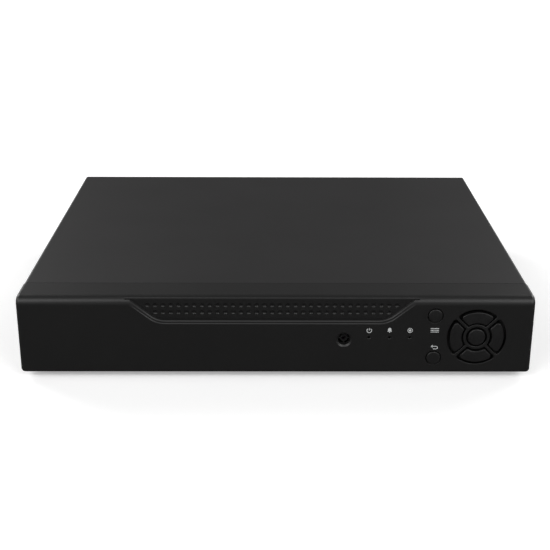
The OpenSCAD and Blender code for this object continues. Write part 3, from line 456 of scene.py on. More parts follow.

# Each surface's edge colour and amount are partly abrasion and partly a painted highlight.
SURFACES = {
    "cover_paint": dict(
        PAINT, color=(0.0112, 0.0109, 0.0112), specular=0.42, patch=45, uneven=0.008,
        wear_and_highlight_color=(0.03, 0.03, 0.031),
    ),
    "chassis_paint": dict(
        PAINT, color=(0.011, 0.011, 0.0115), specular=0.3, patch=40, uneven=0.01,
        wear_and_highlight_color=(0.03,) * 3,
    ),
    "label_print": dict(
        color=(0.49, 0.548, 0.58), rough=0.42, mottle=0.02, patch=60, uneven=0.03,
        grain=0.12, pitch=0.35, relief=0.01,
    ),
    "bezel_plastic": dict(
        color=(0.0032,) * 3, rough=0.46, specular=0.54, patch=30, uneven=0.01,
        grain=0.35, pitch=0.3, relief=0.012, edge_wear_and_highlight=0.35, wear_and_highlight_color=(0.015, 0.015, 0.016),
    ),
    "key_plastic": dict(
        color=(0.0038, 0.0038, 0.0039), rough=0.44, mottle=0.08, patch=9, grain=0.25,
        pitch=0.25, relief=0.01, edge_wear_and_highlight=0.4, wear_and_highlight_color=(0.016, 0.016, 0.017),
    ),
    "foot_rubber": dict(
        color=(0.012,) * 3, rough=0.8, specular=0.3, mottle=0.2, patch=6, grain=0.5,
        pitch=0.4, relief=0.05, edge_wear_and_highlight=0.5, wear_and_highlight_color=(0.03,) * 3,
    ),
    "screw_black": dict(
        color=(0.03, 0.03, 0.033), rough=0.32, metallic=0.9, mottle=0.2, patch=2, grain=0.2,
        pitch=0.2, edge_wear_and_highlight=0.8, wear_and_highlight_color=(0.35, 0.34, 0.33),
    ),
    "screw_steel": dict(
        color=(0.84, 0.79, 0.75), rough=0.36, metallic=1.0, mottle=0.12, patch=2, grain=0.15,
        pitch=0.15,
    ),
    "nickel": dict(
        color=(0.8, 0.72, 0.64), rough=0.27, metallic=1.0, patch=3, grain=0.1, pitch=0.25,
        relief=0.004, edge_wear_and_highlight=0.3, wear_and_highlight_color=(0.88, 0.83, 0.76),
    ),
    "bright_tin": dict(
        color=(0.85, 0.83, 0.8), rough=0.34, metallic=1.0, mottle=0.06, patch=4, uneven=0.05,
        grain=0.08, pitch=0.3, relief=0.003, edge_wear_and_highlight=0.3, wear_and_highlight_color=(0.9, 0.89, 0.87),
    ),
    "stack_nickel": dict(
        color=(0.7, 0.65, 0.59), rough=0.36, metallic=0.85, mottle=0.08, patch=4,
        uneven=0.05, grain=0.2, pitch=0.3, relief=0.008, edge_wear_and_highlight=0.3,
        wear_and_highlight_color=(0.8, 0.76, 0.7),
    ),
    "gold_contact": dict(
        color=(0.6, 0.42, 0.16), rough=0.22, metallic=1.0, patch=1.5, grain=0.1, pitch=0.2,
    ),
    "ptfe": dict(
        MOULDED, color=(0.5, 0.43, 0.34), rough=0.45, mottle=0.04, patch=2, relief=0.008,
    ),
    "socket_black": dict(
        SOCKET, color=(0.011, 0.011, 0.012), rough=0.42, pitch=0.25, wear_and_highlight_color=(0.04,) * 3,
    ),
    "shell_black": dict(
        SOCKET, color=(0.014, 0.014, 0.016), rough=0.38, metallic=0.5, pitch=0.3,
        wear_and_highlight_color=(0.06,) * 3,
    ),
    "tip_white": dict(MOULDED, color=(0.78, 0.76, 0.75), rough=0.35, mottle=0.03),
    "core_grey": dict(MOULDED, color=(0.36, 0.35, 0.34), rough=0.38, mottle=0.05),
    "tip_red": dict(MOULDED, color=(0.5, 0.014, 0.028), rough=0.33, mottle=0.08),
    "display_blue": dict(
        color=(0.07, 0.25, 0.5), rough=0.4, mottle=0.07, patch=4, grain=0.2, pitch=0.25,
        relief=0.01,
    ),
    "terminal_green": dict(
        color=(0.19, 0.33, 0.2), rough=0.42, mottle=0.08, patch=4, grain=0.25, pitch=0.25,
        relief=0.012, edge_wear_and_highlight=0.3, wear_and_highlight_color=(0.3, 0.48, 0.31),
    ),
    "lamp_clear": dict(color=(0.65, 0.66, 0.62), rough=0.15, mottle=0.05, patch=2, grain=0.1),
    "lamp_yellow_green": dict(color=(0.44, 0.46, 0.13), rough=0.25, patch=1.5, grain=0.1, coat=0.6),
    "receiver_epoxy": dict(color=(0.012, 0.006, 0.012), rough=0.15, patch=2, coat=0.5),
    "board_green": dict(
        color=(0.012, 0.09, 0.03), rough=0.3, mottle=0.35, patch=3, grain=0.6, pitch=1.2,
        relief=0.05, coat=0.4,
    ),
    "chip_black": dict(color=(0.018, 0.018, 0.02), rough=0.5, mottle=0.15, patch=3, pitch=0.2),
    "standoff_brass": dict(color=(0.55, 0.42, 0.2), rough=0.3, metallic=1.0, patch=2, grain=0.2),
    "heat_aluminium": dict(
        color=(0.6, 0.6, 0.61), rough=0.35, metallic=1.0, patch=5, pitch=0.4, brushed=BRUSHED,
    ),
    "drive_aluminium": dict(color=(0.46, 0.47, 0.48), rough=0.38, metallic=0.9, patch=9, grain=0.5),
    "cell_steel": dict(
        color=(0.62, 0.61, 0.6), rough=0.25, metallic=1.0, patch=4, grain=0.2, brushed=BRUSHED,
    ),
    "socket_cream": dict(color=(0.68, 0.63, 0.5), rough=0.45, mottle=0.05, patch=4, grain=0.2),
    "plunger_cream": dict(color=(0.6, 0.55, 0.45), rough=0.4, mottle=0.05, patch=2, grain=0.2),
    "lead_red": dict(LEAD, color=(0.45, 0.03, 0.02)),
    "lead_black": dict(LEAD, color=(0.015,) * 3),
    "lead_grey": dict(LEAD, color=(0.25, 0.25, 0.26)),
    "ink_black": dict(
        INK, color=(0.012, 0.013, 0.014), rough=0.45, mottle=0.08, patch=5, pitch=0.3,
    ),
    "ink_white": dict(
        INK, color=(0.4, 0.41, 0.41), rough=0.55, mottle=0.06, patch=2, pitch=0.25,
    ),
}
# The stacked socket's shell is a warmer, duller metal than the tinned ones that share its slot
REPAINTED = {"network_usb_shell": "stack_nickel"}

looks = {}


def look(name):
    """The surface of that name, made once."""
    if name not in looks:
        looks[name] = make_surface(name, **SURFACES[name])
    return looks[name]


def paint_cad_nodes():
    """Gives every CAD node its surface; a node's slot in the record chooses it."""
    for name, obj in NODES.items():
        surface = look(REPAINTED.get(name) or SLOT_OF[name])
        obj.data.materials.clear()
        obj.data.materials.append(surface)


# ---- Front bezel ----

BEZEL_HALF = bezel_high.x / MM
BEZEL_H = (bezel_high.z - bezel_low.z) / MM
JOINT_GAP = 0.3
BEZEL_D = (cover_low.y - bezel_low.y) / MM - JOINT_GAP
BEZEL_WALL = 2.8
SIDE_WALL = 2.2
TOP_R = 4.5
EDGE_R = 2.0

# Recess: its middle, half widths along its top and lower rims, the lower rim's height, and its stepped rim
RECESS_X = -1.9
RECESS_TOP_HALF = 75.2
RECESS_LOW_HALF = 57.5
RECESS_LOW_V = 26.8
RECESS_LEAN = (RECESS_TOP_HALF - RECESS_LOW_HALF) / (BEZEL_H - RECESS_LOW_V)
RECESS_CORNER = 4.5
RECESS_DEPTH = 1.6
RECESS_TOP_R = 1.8
RECESS_STEPS = [
    (1.75, 0.9), (0.25, 0.1), (-0.35, -0.25), (-1.1, -0.3), (-1.6, -0.6), (-1.95, -RECESS_DEPTH),
]

# Two rows of dimples in the recess, as (height, how many on each side of the middle one)
DIMPLE_PITCH = 3.85
DIMPLE_R = 1.2
DIMPLE_DEPTH = 0.75
DIMPLE_ROWS = [(36.0, 16), (32.25, 15)]

PAD = (99.8, 19.8)
PAD_HOLE_R = 14.7
PAD_INNER_R = 6.7
OK_HOLE_R = 5.2
OK_KEY_R = 4.3
SPOKE_HALF = 0.7
SPOKE_GAP = 0.8
PAD_KEY_R = 13.4
PAD_KEY_IN_R = 7.6
PAD_STEM_R = 10.5
QUARTERS = {"up": 0, "left": 90, "down": 180, "right": 270}
SMALL_KEY_X = 78.8
SMALL_KEY_RISE = 11.4
SMALL_KEY_R = 3.5
SMALL_HOLE_R = 3.82
SMALL_KEYS = {"menu": (SMALL_KEY_X, PAD[1] + SMALL_KEY_RISE), "esc": (SMALL_KEY_X, PAD[1] - SMALL_KEY_RISE)}
KEY_PROUD = 0.7
KEY_RIM_R = 0.28
LAMPS = [(56.4 + i * 10.16, 19.5) for i in (-1, 0, 1)]
WINDOW = (33.8, 18.4)
WINDOW_R = 4.0
BOWL_R = 3.1
BOWL_DEPTH = 2.4
BOWL_THICK = 0.8


def bezel_section(inset):
    """The bezel's side outline, as (w, v) points, shrunk on its top, front and bottom."""
    low = arc((-EDGE_R, EDGE_R), EDGE_R - inset, -90, 0, 8)
    high = arc((-TOP_R, BEZEL_H - TOP_R), TOP_R - inset, 0, 90, 18)
    return [(-BEZEL_D, inset)] + low + high + [(-BEZEL_D, BEZEL_H - inset)]


def bezel_body():
    """Bezel as a solid block with rounded edges."""
    bm = bmesh.new()
    ends = arc((BEZEL_HALF - EDGE_R, EDGE_R), EDGE_R, -90, 0, 8)
    rings = []
    for u, inset in [(-u, inset) for u, inset in reversed(ends)] + ends:
        section = bezel_section(min(inset, EDGE_R - 0.01))
        rings.append([bm.verts.new((u, v, w)) for w, v in section])
    skin(bm, rings)
    return bm


def recess_outline(margin):
    """Trapezoid of the recess grown by a margin, carried past the bezel's top edge."""
    low = RECESS_LOW_V - margin
    high = BEZEL_H + 3
    half_low = RECESS_LOW_HALF + margin * (math.hypot(1, RECESS_LEAN) - RECESS_LEAN)
    half_high = half_low + RECESS_LEAN * (high - low)
    corner = Vector((half_low, low))
    side = Vector((RECESS_LEAN, 1)).normalized()
    right = bend(corner - Vector((RECESS_CORNER, 0)), corner, corner + side * RECESS_CORNER, 8)
    right.append((half_high, high))
    return moved(right + [(-x, y) for x, y in reversed(right)], (RECESS_X, 0))


def recess_cutter(bm):
    skin(bm, layer_rings(bm, [(recess_outline(margin), w) for margin, w in RECESS_STEPS]))


def recess_top_cutter(bm):
    """Takes the corner off the recess's upper edge, to leave a rounded one."""
    low = BEZEL_H - RECESS_TOP_R
    deep = -RECESS_DEPTH - RECESS_TOP_R
    side = arc((deep, low), RECESS_TOP_R, 0, 90, 10) + [(deep, BEZEL_H + 1), (1, BEZEL_H + 1), (1, low)]
    half = RECESS_TOP_HALF - 2.0 - 0.5 * RECESS_LEAN
    skin(bm, [[bm.verts.new((RECESS_X + end, v, w)) for w, v in side] for end in (-half, half)])


def dimple_cutters(bm):
    """Small round holes with a bowl for a floor."""
    floor = -RECESS_DEPTH
    mouth = floor + 0.5
    turns = [math.radians(18 * i) for i in range(5)]
    bowl = [(DIMPLE_R * math.cos(a), floor - DIMPLE_DEPTH * math.sin(a)) for a in turns]
    profile = [(0.0, mouth), (DIMPLE_R, mouth)] + bowl + [(0.0, floor - DIMPLE_DEPTH)]
    for v, half_count in DIMPLE_ROWS:
        for k in range(-half_count, half_count + 1):
            add_lathe(bm, profile, (RECESS_X + k * DIMPLE_PITCH, v), segments=14)


def face_cutters(bm):
    """Openings for the keys, the lamps and the remote control window."""
    back = -BEZEL_WALL - 1.5
    out = 1.0
    for turn in QUARTERS.values():
        outline = sector_outline(PAD_INNER_R, PAD_HOLE_R, SPOKE_HALF, 0.5, 1.1, turn)
        add_prism(bm, [moved(outline, PAD)], back, out)
    add_prism(bm, [circle(PAD, OK_HOLE_R, 56)], back, out)
    for place in SMALL_KEYS.values():
        add_prism(bm, [circle(place, SMALL_HOLE_R, 40)], back, out)
    pinhole = [(0.0, back), (0.6, back), (0.6, -0.25), (0.85, 0.02), (0.85, out), (0.0, out)]
    for place in LAMPS:
        add_lathe(bm, pinhole, place, segments=20)
    bowl = [
        (0.0, back), (BOWL_R, back), (BOWL_R, -0.62), (BOWL_R + 0.04, -0.55), (WINDOW_R, 0.01),
        (WINDOW_R, out), (0.0, out),
    ]
    add_lathe(bm, bowl, WINDOW, segments=48)


def cavity_cutter(bm):
    half = BEZEL_HALF - SIDE_WALL
    add_block(bm, (-half, SIDE_WALL, -BEZEL_D - 1), (half, BEZEL_H - SIDE_WALL, -BEZEL_WALL))


def window_bowl(bm):
    """Floor of the remote control window, with a round hole and four curved slots."""
    loops = [circle(WINDOW, BOWL_R + 0.1, 48), circle(WINDOW, 1.15, 24)]
    for turn in QUARTERS.values():
        loops.append(moved(sector_outline(1.85, 2.95, 0.35, 0.25, 0.3, turn + 45), WINDOW))
    add_prism(bm, loops, -BOWL_DEPTH - BOWL_THICK, -BOWL_DEPTH)


def bezel_lip(bm):
    """Lip behind the joint that the cover slides over."""
    half = cover_high.x / MM - 1.0
    outer = box_outline((-half, 13.0), (half, BEZEL_H - 1.0), 0.6)
    inner = box_outline((-half + 1.4, 14.4), (half - 1.4, BEZEL_H - 2.4), 0.4)
    add_prism(bm, [outer, inner], -BEZEL_D - 4, -BEZEL_D + 3)


def on_key_rim(edge):
    """True on the outer edges of the key openings."""
    middle = (edge.verts[0].co + edge.verts[1].co) / 2
    if len(edge.link_faces) != 2 or edge.calc_face_angle(0.0) < math.radians(50):
        return False
    if middle.z < -RECESS_DEPTH - 0.02:
        return False
    rims = [(PAD, PAD_HOLE_R)] + [(place, SMALL_HOLE_R) for place in SMALL_KEYS.values()]
    return any((middle.xy - Vector(place)).length < r + 1 for place, r in rims)


def build_bezel():
    openings = bmesh.new()
    recess_cutter(openings)
    face_cutters(openings)
    cavity_cutter(openings)
    details = bmesh.new()
    recess_top_cutter(details)
    dimple_cutters(details)
    bm = subtract(subtract(bezel_body(), openings), details)
    rims = [e for e in bm.edges if on_key_rim(e)]
    bmesh.ops.bevel(
        bm, geom=rims, offset=KEY_RIM_R, segments=4, affect="EDGES", profile=0.5, clamp_overlap=False
    )
    window_bowl(bm)
    bezel_lip(bm)
    make_piece("bezel", bm, FRONT, "bezel_plastic", stands_for="front_bezel", angle=25)


# ---- Keys ----

KEY_BACK = -BEZEL_WALL - 0.1
KEY_CROWN = 0.12
KEY_EDGE_R = 0.35
STEM_DEPTH = 4.95
STEM_R = 1.6


def shrunk(outline, by):
    """Outline with every point carried inwards."""
    made = []
    count = len(outline)
    for i, p in enumerate(outline):
        way = Vector(outline[(i + 1) % count]) - Vector(outline[i - 1])
        normal = Vector((-way.y, way.x)).normalized()
        made.append(tuple(Vector(p) + normal * by))
    return made


def add_key_face(bm, outline):
    """Key with a softly rounded and slightly raised face."""
    centre = sum((Vector(p) for p in outline), Vector((0, 0))) / len(outline)
    shoulder = KEY_PROUD - KEY_CROWN - KEY_EDGE_R
    layers = [(outline, KEY_BACK), (outline, shoulder)]
    for i in range(1, 5):
        a = math.radians(22.5 * i)
        inset = KEY_EDGE_R * (1 - math.cos(a))
        layers.append((shrunk(outline, inset), shoulder + KEY_EDGE_R * math.sin(a)))
    inner = [tuple(Vector(p).lerp(centre, 0.55)) for p in shrunk(outline, KEY_EDGE_R)]
    layers.append((inner, KEY_PROUD))
    rings = layer_rings(bm, layers)
    join_rings(bm, rings)
    bm.faces.new(rings[0][::-1])
    middle = bm.verts.new((*centre, KEY_PROUD + 0.01))
    last = rings[-1]
    for i in range(len(last)):
        bm.faces.new((last[i], last[(i + 1) % len(last)], middle))


def finish_key(name, bm, flange, stem_place):
    """Adds the flange behind the bezel and the stem to the switch."""
    back = KEY_BACK - 0.05
    root = back - 0.9
    add_prism(bm, [flange], back - 1.0, back)
    stem = [(0.0, -STEM_DEPTH), (STEM_R, -STEM_DEPTH), (STEM_R, root), (0.0, root)]
    add_lathe(bm, stem, stem_place, segments=20)
    node = "key_" + name
    make_piece("cap_" + name, bm, FRONT, "key_plastic", body=BODY_OF[node], stands_for=node)


def build_arrow_key(name, turn):
    bm = bmesh.new()
    face = sector_outline(PAD_KEY_IN_R, PAD_KEY_R, SPOKE_HALF + SPOKE_GAP, 0.8, 1.4, turn)
    flange = sector_outline(PAD_INNER_R - 0.3, PAD_HOLE_R + 0.7, SPOKE_HALF - 0.2, 0.3, 0.5, turn)
    way = math.radians(turn + 90)
    stem_place = (PAD[0] + PAD_STEM_R * math.cos(way), PAD[1] + PAD_STEM_R * math.sin(way))
    add_key_face(bm, moved(face, PAD))
    finish_key(name, bm, moved(flange, PAD), stem_place)


def build_round_key(name, place, radius, flange_r):
    bm = bmesh.new()
    shoulder = KEY_PROUD - 0.62
    turned_edge = [
        (radius - 0.5 + 0.5 * math.cos(a), shoulder + 0.45 * math.sin(a)) for a in (0.4, 0.8, 1.2, 1.57)
    ]
    profile = [(0.0, KEY_BACK), (radius, KEY_BACK), (radius, shoulder)] + turned_edge
    profile += [(radius * 0.6, KEY_PROUD - 0.06), (radius * 0.3, KEY_PROUD - 0.01), (0.0, KEY_PROUD)]
    add_lathe(bm, profile, place, segments=48)
    finish_key(name, bm, circle(place, flange_r), place)


def build_keys():
    for name, turn in QUARTERS.items():
        build_arrow_key(name, turn)
    build_round_key("ok", PAD, OK_KEY_R, OK_KEY_R + 1.4)
    for name, place in SMALL_KEYS.items():
        build_round_key(name, place, SMALL_KEY_R, SMALL_KEY_R + 1.2)


# ---- Printed symbols ----

INK_LOW = -0.02
INK_HIGH = 0.03
SECOND_INK_HIGH = 0.05


class Print:
    """Flat shapes in one ink, gathered into one thin piece and drawn round a centre, to a scale."""

    def __init__(self, name, place, ink, high=INK_HIGH):
        self.bm = bmesh.new()
        self.name = name
        self.place = place
        self.ink = ink
        self.high = high
        self.at((0, 0))

    def at(self, centre, scale=1.0):
        self.centre = centre
        self.scale = scale

    def shape(self, *loops):
        s = self.scale
        placed = [moved([(s * x, s * y) for x, y in loop], self.centre) for loop in loops]
        add_prism(self.bm, placed, INK_LOW, self.high)

    def line(self, points, width):
        """Line of that width in millimetres, at any scale."""
        self.shape(stroke(points, width / self.scale))

    def ring(self, radius, width):
        self.shape(circle((0, 0), radius + width / 2, 32), circle((0, 0), radius - width / 2, 32))

    def dot(self, radius, centre=(0, 0)):
        self.shape(circle(centre, radius, 20))

    def finish(self):
        make_piece(self.name, self.bm, self.place, self.ink, angle=20)


def power_mark(ink, at):
    """Broken ring with a bar through its gap."""
    radius = 1.15
    ink.at(at)
    ink.line(arc((0, 0), radius, 125, 415, 20), 0.34)
    ink.line([(0, 0.1), (0, 1.15 * radius)], 0.34)


def bell_mark(ink, at):
    ink.at(at, 1.35)
    dome = arc((0, 0.35), 0.6, 180, 0, 8)
    ink.shape([(-0.9, -0.55), (-0.62, -0.2)] + dome + [(0.62, -0.2), (0.9, -0.55)])
    ink.dot(0.2, (0, -0.85))


def record_mark(ink, at):
    ink.at(at)
    ink.ring(1.15, 0.3)
    ink.dot(0.575)


def menu_mark(ink, at):
    ink.at(at, 2.6)
    for y in (-0.36, 0, 0.36):
        ink.line([(-0.8, y), (0.8, y)], 0.36)


def back_mark(ink, at):
    """Arrow that turns back to the left."""
    ink.at(at, 1.3)
    hook = arc((0.5, -0.2), 0.55, 80, -90, 8)
    ink.line([(-0.9, 0.35), (0.5, 0.35)] + hook + [(-0.7, -0.75)], 0.34)
    ink.shape([(-1.6, 0.35), (-0.8, 0.95), (-0.8, -0.25)])


def build_front_print():
    ink = Print("front_symbols", FRONT, "ink_white")
    power_mark(ink, (LAMPS[0][0], 23.3))
    bell_mark(ink, (LAMPS[1][0], 23.5))
    record_mark(ink, (LAMPS[2][0], 23.4))
    menu_mark(ink, (SMALL_KEY_X, 23.5))
    back_mark(ink, (SMALL_KEY_X + 0.5, 14.3))
    ink.finish()


# Lines of each digit, in hundredths of its height
DIGITS = {
    "1": [[(-25, 32), (8, 50), (8, -50)]],
    "2": [[(-28, 28), (-12, 47), (14, 47), (28, 27), (22, 5), (-30, -46), (32, -46)]],
    "3": [
        [(-28, 40), (-5, 48), (20, 42), (25, 22), (14, 5), (-5, 2)],
        [(-5, 2), (20, -4), (29, -24), (18, -43), (-8, -48), (-30, -38)],
    ],
    "4": [[(14, -50), (14, 48), (-32, -22), (34, -22)]],
}
DIGIT_H = 2.1


def digit(ink, text, at):
    ink.at(at, DIGIT_H / 100)
    for line in DIGITS[text]:
        ink.line(line, 0.26)


def camera_mark(ink, at):
    """Bullet camera on a bracket."""
    ink.at(at, 1.9)
    ink.shape(box_outline((-0.9, -0.05), (0.55, 0.5), 0.08, 3))
    ink.shape(box_outline((0.62, 0.1), (0.95, 0.36)))
    ink.line([(-0.2, -0.02), (-0.45, -0.42), (-0.9, -0.42)], 0.38)


def screen_mark(ink, at, width, height, foot=True):
    ink.at(at)
    middle = (0, 0.12 * height)
    ink.shape(centred(middle, (width, height), 0.18), centred(middle, (width - 0.5, height - 0.5), 0.05))
    if foot:
        ink.line([(-0.3 * width, -0.58 * height), (0.3 * width, -0.58 * height)], 0.26)
        ink.line([(0, -0.55 * height), (0, -0.36 * height)], 0.3)


def speaker_mark(ink, at):
    ink.at(at, 1.5)
    ink.shape([(-0.8, -0.22), (-0.42, -0.22), (0, -0.6), (0, 0.6), (-0.42, 0.22), (-0.8, 0.22)])
    for r in (0.45, 0.8):
        ink.line(arc((0, 0), r, -42, 42, 6), 0.195)


def microphone_mark(ink, at):
    ink.at(at, 2.1)
    ink.shape(centred((0, 0.2), (0.5, 0.9), 0.24))
    ink.line(arc((0, 0.12), 0.5, 190, 350, 10), 0.273)
    ink.line([(0, -0.38), (0, -0.62)], 0.294)
    ink.line([(-0.3, -0.64), (0.3, -0.64)], 0.273)


def arrow_mark(ink, at, length, way):
    """Short arrow pointing along +u or -u."""
    ink.at(at, length)
    ink.line([(-0.5 * way, 0), (0.1 * way, 0)], 0.26)
    ink.shape([(0.5 * way, 0), (0, 0.2625), (0, -0.2625)])


def network_mark(ink, at):
    """Three boxes joined by a line."""
    ink.at(at)
    for place in ((0, 1.85), (-2.3, -1.85), (2.3, -1.85)):
        ink.shape(centred(place, (1.7, 1.5), 0.1), centred(place, (1.25, 1.05)))
    ink.line([(0, 1.1), (0, 0.02)], 0.2)
    ink.line([(-2.3, -1.1), (-2.3, 0), (2.3, 0), (2.3, -1.1)], 0.2)


def sign_mark(ink, at, half, width, upright=0.0):
    """Minus sign, or a plus sign whose upright strokes start that far from the middle."""
    ink.at(at)
    ink.line([(-half, 0), (half, 0)], width)
    if upright:
        ink.line([(0, upright), (0, half)], width)
        ink.line([(0, -upright), (0, -half)], width)


def polarity_mark(ink, at):
    """Centre-positive sign in a frame."""
    ink.at(at)
    frame_outline = box_outline((-5.2, -2.6), (5.0, 3.3), 0.1)
    ink.shape(frame_outline, box_outline((-4.95, -2.35), (4.75, 3.05), 0.05))
    ink.line(arc((0, 0), 1.35, 50, 310, 14), 0.22)
    ink.dot(0.62)
    ink.line([(-3.9, 0), (-1.4, 0)], 0.22)
    ink.line([(0.5, 0), (3.7, 0)], 0.22)
    sign_mark(ink, (at[0] - 3.1, at[1] + 1.8), 0.5, 0.2)
    sign_mark(ink, (at[0] + 2.9, at[1] + 1.8), 0.5, 0.2, upright=0.12)


def earth_mark(ink, at):
    ink.at(at)
    ink.ring(1.9, 0.22)
    ink.line([(0, 1.2), (0, -0.05)], 0.2)
    for v, half in ((-0.15, 1.0), (-0.6, 0.65), (-1.05, 0.3)):
        ink.line([(-half, v), (half, v)], 0.2)


def data_port_mark(ink, at):
    """End of a flat data plug with its two windows."""
    ink.at(at)
    ink.shape(centred((0, 0), (5.2, 2.2), 0.15), centred((0, 0), (4.6, 1.6), 0.05))
    for side in (-1, 1):
        ink.shape(centred((side * 1.05, 0.2), (1.0, 0.7)))


def two_way_mark(ink, at):
    for way in (1, -1):
        arrow_mark(ink, (at[0] - way * 0.2, at[1] + way * 0.6), 3.0, way)


def direct_current_mark(ink, at):
    """Solid line over a broken one."""
    ink.at(at)
    ink.line([(-1.9, 0.5), (1.9, 0.5)], 0.36)
    for u in (-1.4, 0, 1.4):
        ink.line([(u - 0.5, -0.5), (u + 0.5, -0.5)], 0.36)


def framed_bar(ink, low, high, bar):
    """Thin round-cornered frame with a solid bar along its bottom, up to that height."""
    line = 0.28
    opening = box_outline((low[0] + line, bar), (high[0] - line, high[1] - line), 0.75)
    ink.shape(box_outline(low, high, 1.0), opening)


BNC_PLACES = [(u, v) for u in (-55.7, -37.2) for v in (29.1, 13.2)]
VIDEO_OUT = (-18.7, 29.1)
AUDIO_OUT = (-18.7, 14.1)
AUDIO_IN = (37.05, 19.8)
PHONO_HALF = 7.05
VIDEO_U = 1.2
STACK_U = 62.5
POWER = (88.6, 11.5)

# Black tags under the sockets, as their lower left and upper right corners
TAG_R = 0.6
TAGS = [
    ((1.6, 18.6), (11.1, 22.2)),
    ((-5.1, 0.7), (8.3, 4.45)),
    ((52.8, 0.45), (73.0, 4.2)),
    ((74.1, 0.45), (83.2, 3.6)),
    ((84.3, 0.45), (93.8, 3.6)),
]
NUMBERS = [
    ("3", (-62.6, 22.6)), ("4", (-62.6, 6.6)), ("1", (-44.1, 22.6)), ("2", (-44.1, 6.6)),
    ("2", (30.5, 33.3)), ("1", (44.5, 33.3)), ("4", (30.5, 19.2)), ("3", (44.5, 19.2)),
]


def build_rear_black():
    ink = Print("rear_black_print", REAR, "ink_black")
    framed_bar(ink, (-64.8, 0.7), (-29.0, 36.6), 4.0)
    output_panel = box_outline((-27.8, 0.45), (-9.9, 36.85), 1.1)
    ink.shape(output_panel, circle(VIDEO_OUT, 6.85, 56), circle(AUDIO_OUT, 6.45, 56))
    framed_bar(ink, (23.5, 0.45), (51.0, 35.3), 4.4)
    for low, high in TAGS:
        ink.shape(box_outline(low, high, TAG_R))
    for text, place in NUMBERS:
        digit(ink, text, place)
    network_mark(ink, (77.75, 33.2))
    sign_mark(ink, (76.9, 15.0), 0.6, 0.24, upright=0.13)
    sign_mark(ink, (80.9, 15.0), 0.6, 0.24)
    polarity_mark(ink, (88.9, 20.9))
    earth_mark(ink, (97.1, 21.6))
    ink.finish()


def build_rear_white():
    """White symbols on the black tags, a little thicker than the black ink under them."""
    ink = Print("rear_white_print", REAR, "ink_white", SECOND_INK_HIGH)
    camera_mark(ink, (-48.2, 2.3))
    arrow_mark(ink, (-44.6, 2.35), 2.0, 1)
    screen_mark(ink, (VIDEO_OUT[0] - 1.4, 35.85), 2.6, 1.5, foot=False)
    arrow_mark(ink, (VIDEO_OUT[0] + 2.1, 36.0), 1.7, 1)
    speaker_mark(ink, (AUDIO_OUT[0] - 1.3, 2.6))
    arrow_mark(ink, (AUDIO_OUT[0] + 2.3, 2.6), 2.0, 1)
    screen_mark(ink, (6.35, 20.45), 3.1, 1.9)
    screen_mark(ink, (1.6, 2.6), 4.6, 1.9)
    microphone_mark(ink, (35.4, 2.5))
    arrow_mark(ink, (39.0, 2.45), 2.2, -1)
    data_port_mark(ink, (62.9, 2.32))
    two_way_mark(ink, (78.65, 2.0))
    direct_current_mark(ink, (89.05, 2.0))
    ink.finish()


# ---- Rear sockets ----

# The sockets start this deep, behind the label
BACK = -2.8


def turned(name, surface, profile, places, cut, segments, **how):
    """Piece of one eased profile turned at each place on the rear wall."""
    bm = bmesh.new()
    for place in places:
        add_lathe(bm, eased(profile, cut), place, segments)
    make_piece(name, bm, REAR, surface, **how)


BNC_REACH = 14.0
# Stepped flange, barrel with a rolled lip, and a deep bore
BNC_SHELL = [
    (2.55, BACK), (6.5, BACK), (6.5, 1.15), (6.2, 1.5), (5.75, 1.55), (5.75, 2.7), (5.5, 3.0),
    (4.8, 3.05), (4.62, 3.4), (4.62, 4.3), (4.8, 4.5), (4.8, 12.6), (4.68, 12.75), (4.68, 13.15),
    (4.8, 13.3), (4.8, 13.75), (4.55, BNC_REACH), (4.3, BNC_REACH), (4.1, 13.7), (4.1, 4.0), (2.55, 4.0),
]
# Half of a bayonet pin, from inside the barrel's wall outwards
BNC_LUG = [(0.0, -5.55), (0.7, -5.55), (1.0, -5.3), (1.0, -4.3), (0.0, -4.3)]
LUG_FROM_TIP = 4.6
BNC_NOSE = [
    (1.15, BACK), (2.5, BACK), (2.5, 4.1), (4.05, 4.1), (4.05, 7.95), (2.5, 8.1), (2.5, 12.8),
    (1.15, 12.8),
]
BNC_SLEEVE = [(0.55, BACK), (1.1, BACK), (1.1, 12.0), (0.55, 12.0)]


def build_bnc_sockets():
    """Bayonet sockets: shells with two pins each, moulded insulators and sleeve contacts."""
    shells = bmesh.new()
    places = BNC_PLACES + [VIDEO_OUT]
    for place in places:
        add_lathe(shells, eased(BNC_SHELL, 0.12), place, segments=72)
        for side in (-1, 1):
            base = Matrix.Translation((*place, BNC_REACH - LUG_FROM_TIP))
            turn = base @ Matrix.Rotation(side * math.pi / 2, 4, "Y")
            add_lathe(shells, eased(BNC_LUG, 0.15), segments=20, turn=turn)
    make_piece("bnc_turned_shells", shells, REAR, "nickel", stands_for="bnc_shells", angle=50)
    turned("bnc_moulded_insulators", "ptfe", BNC_NOSE, places, 0.15, 48, stands_for="bnc_insulators")
    turned("bnc_sleeve_contacts", "gold_contact", BNC_SLEEVE, places, 0.1, 24, stands_for="bnc_contacts")


PHONO_OUT_SHELL = [
    (3.3, BACK), (6.1, BACK), (6.1, 1.1), (5.8, 1.4), (5.3, 1.45), (5.3, 2.4), (5.05, 2.7),
    (4.15, 2.75), (4.15, 10.6), (3.9, 11.0), (3.5, 11.0), (3.3, 10.8),
]
PHONO_OUT_CORE = [
    (1.65, BACK), (3.25, BACK), (3.25, 10.5), (2.9, 10.75), (1.9, 10.75), (1.65, 10.4),
]
PHONO_IN_SHELL = [(3.35, -9.2), (4.05, -9.2), (4.05, 1.5), (4.15, 1.5), (4.15, 6.2), (4.0, 6.5), (3.35, 6.5)]
# Sleeve with a rim over the barrel's end and a funnel into its hole
PHONO_TIP = [
    (1.7, -8.0), (3.3, -8.0), (3.3, 6.52), (4.1, 6.55), (4.1, 7.0), (3.8, 7.28), (2.9, 7.3), (2.6, 7.1),
    (1.75, 5.4), (1.7, 5.0),
]
PHONO_SPRING = [(1.42, -2.6), (1.62, -2.6), (1.62, 4.6), (1.42, 4.6)]


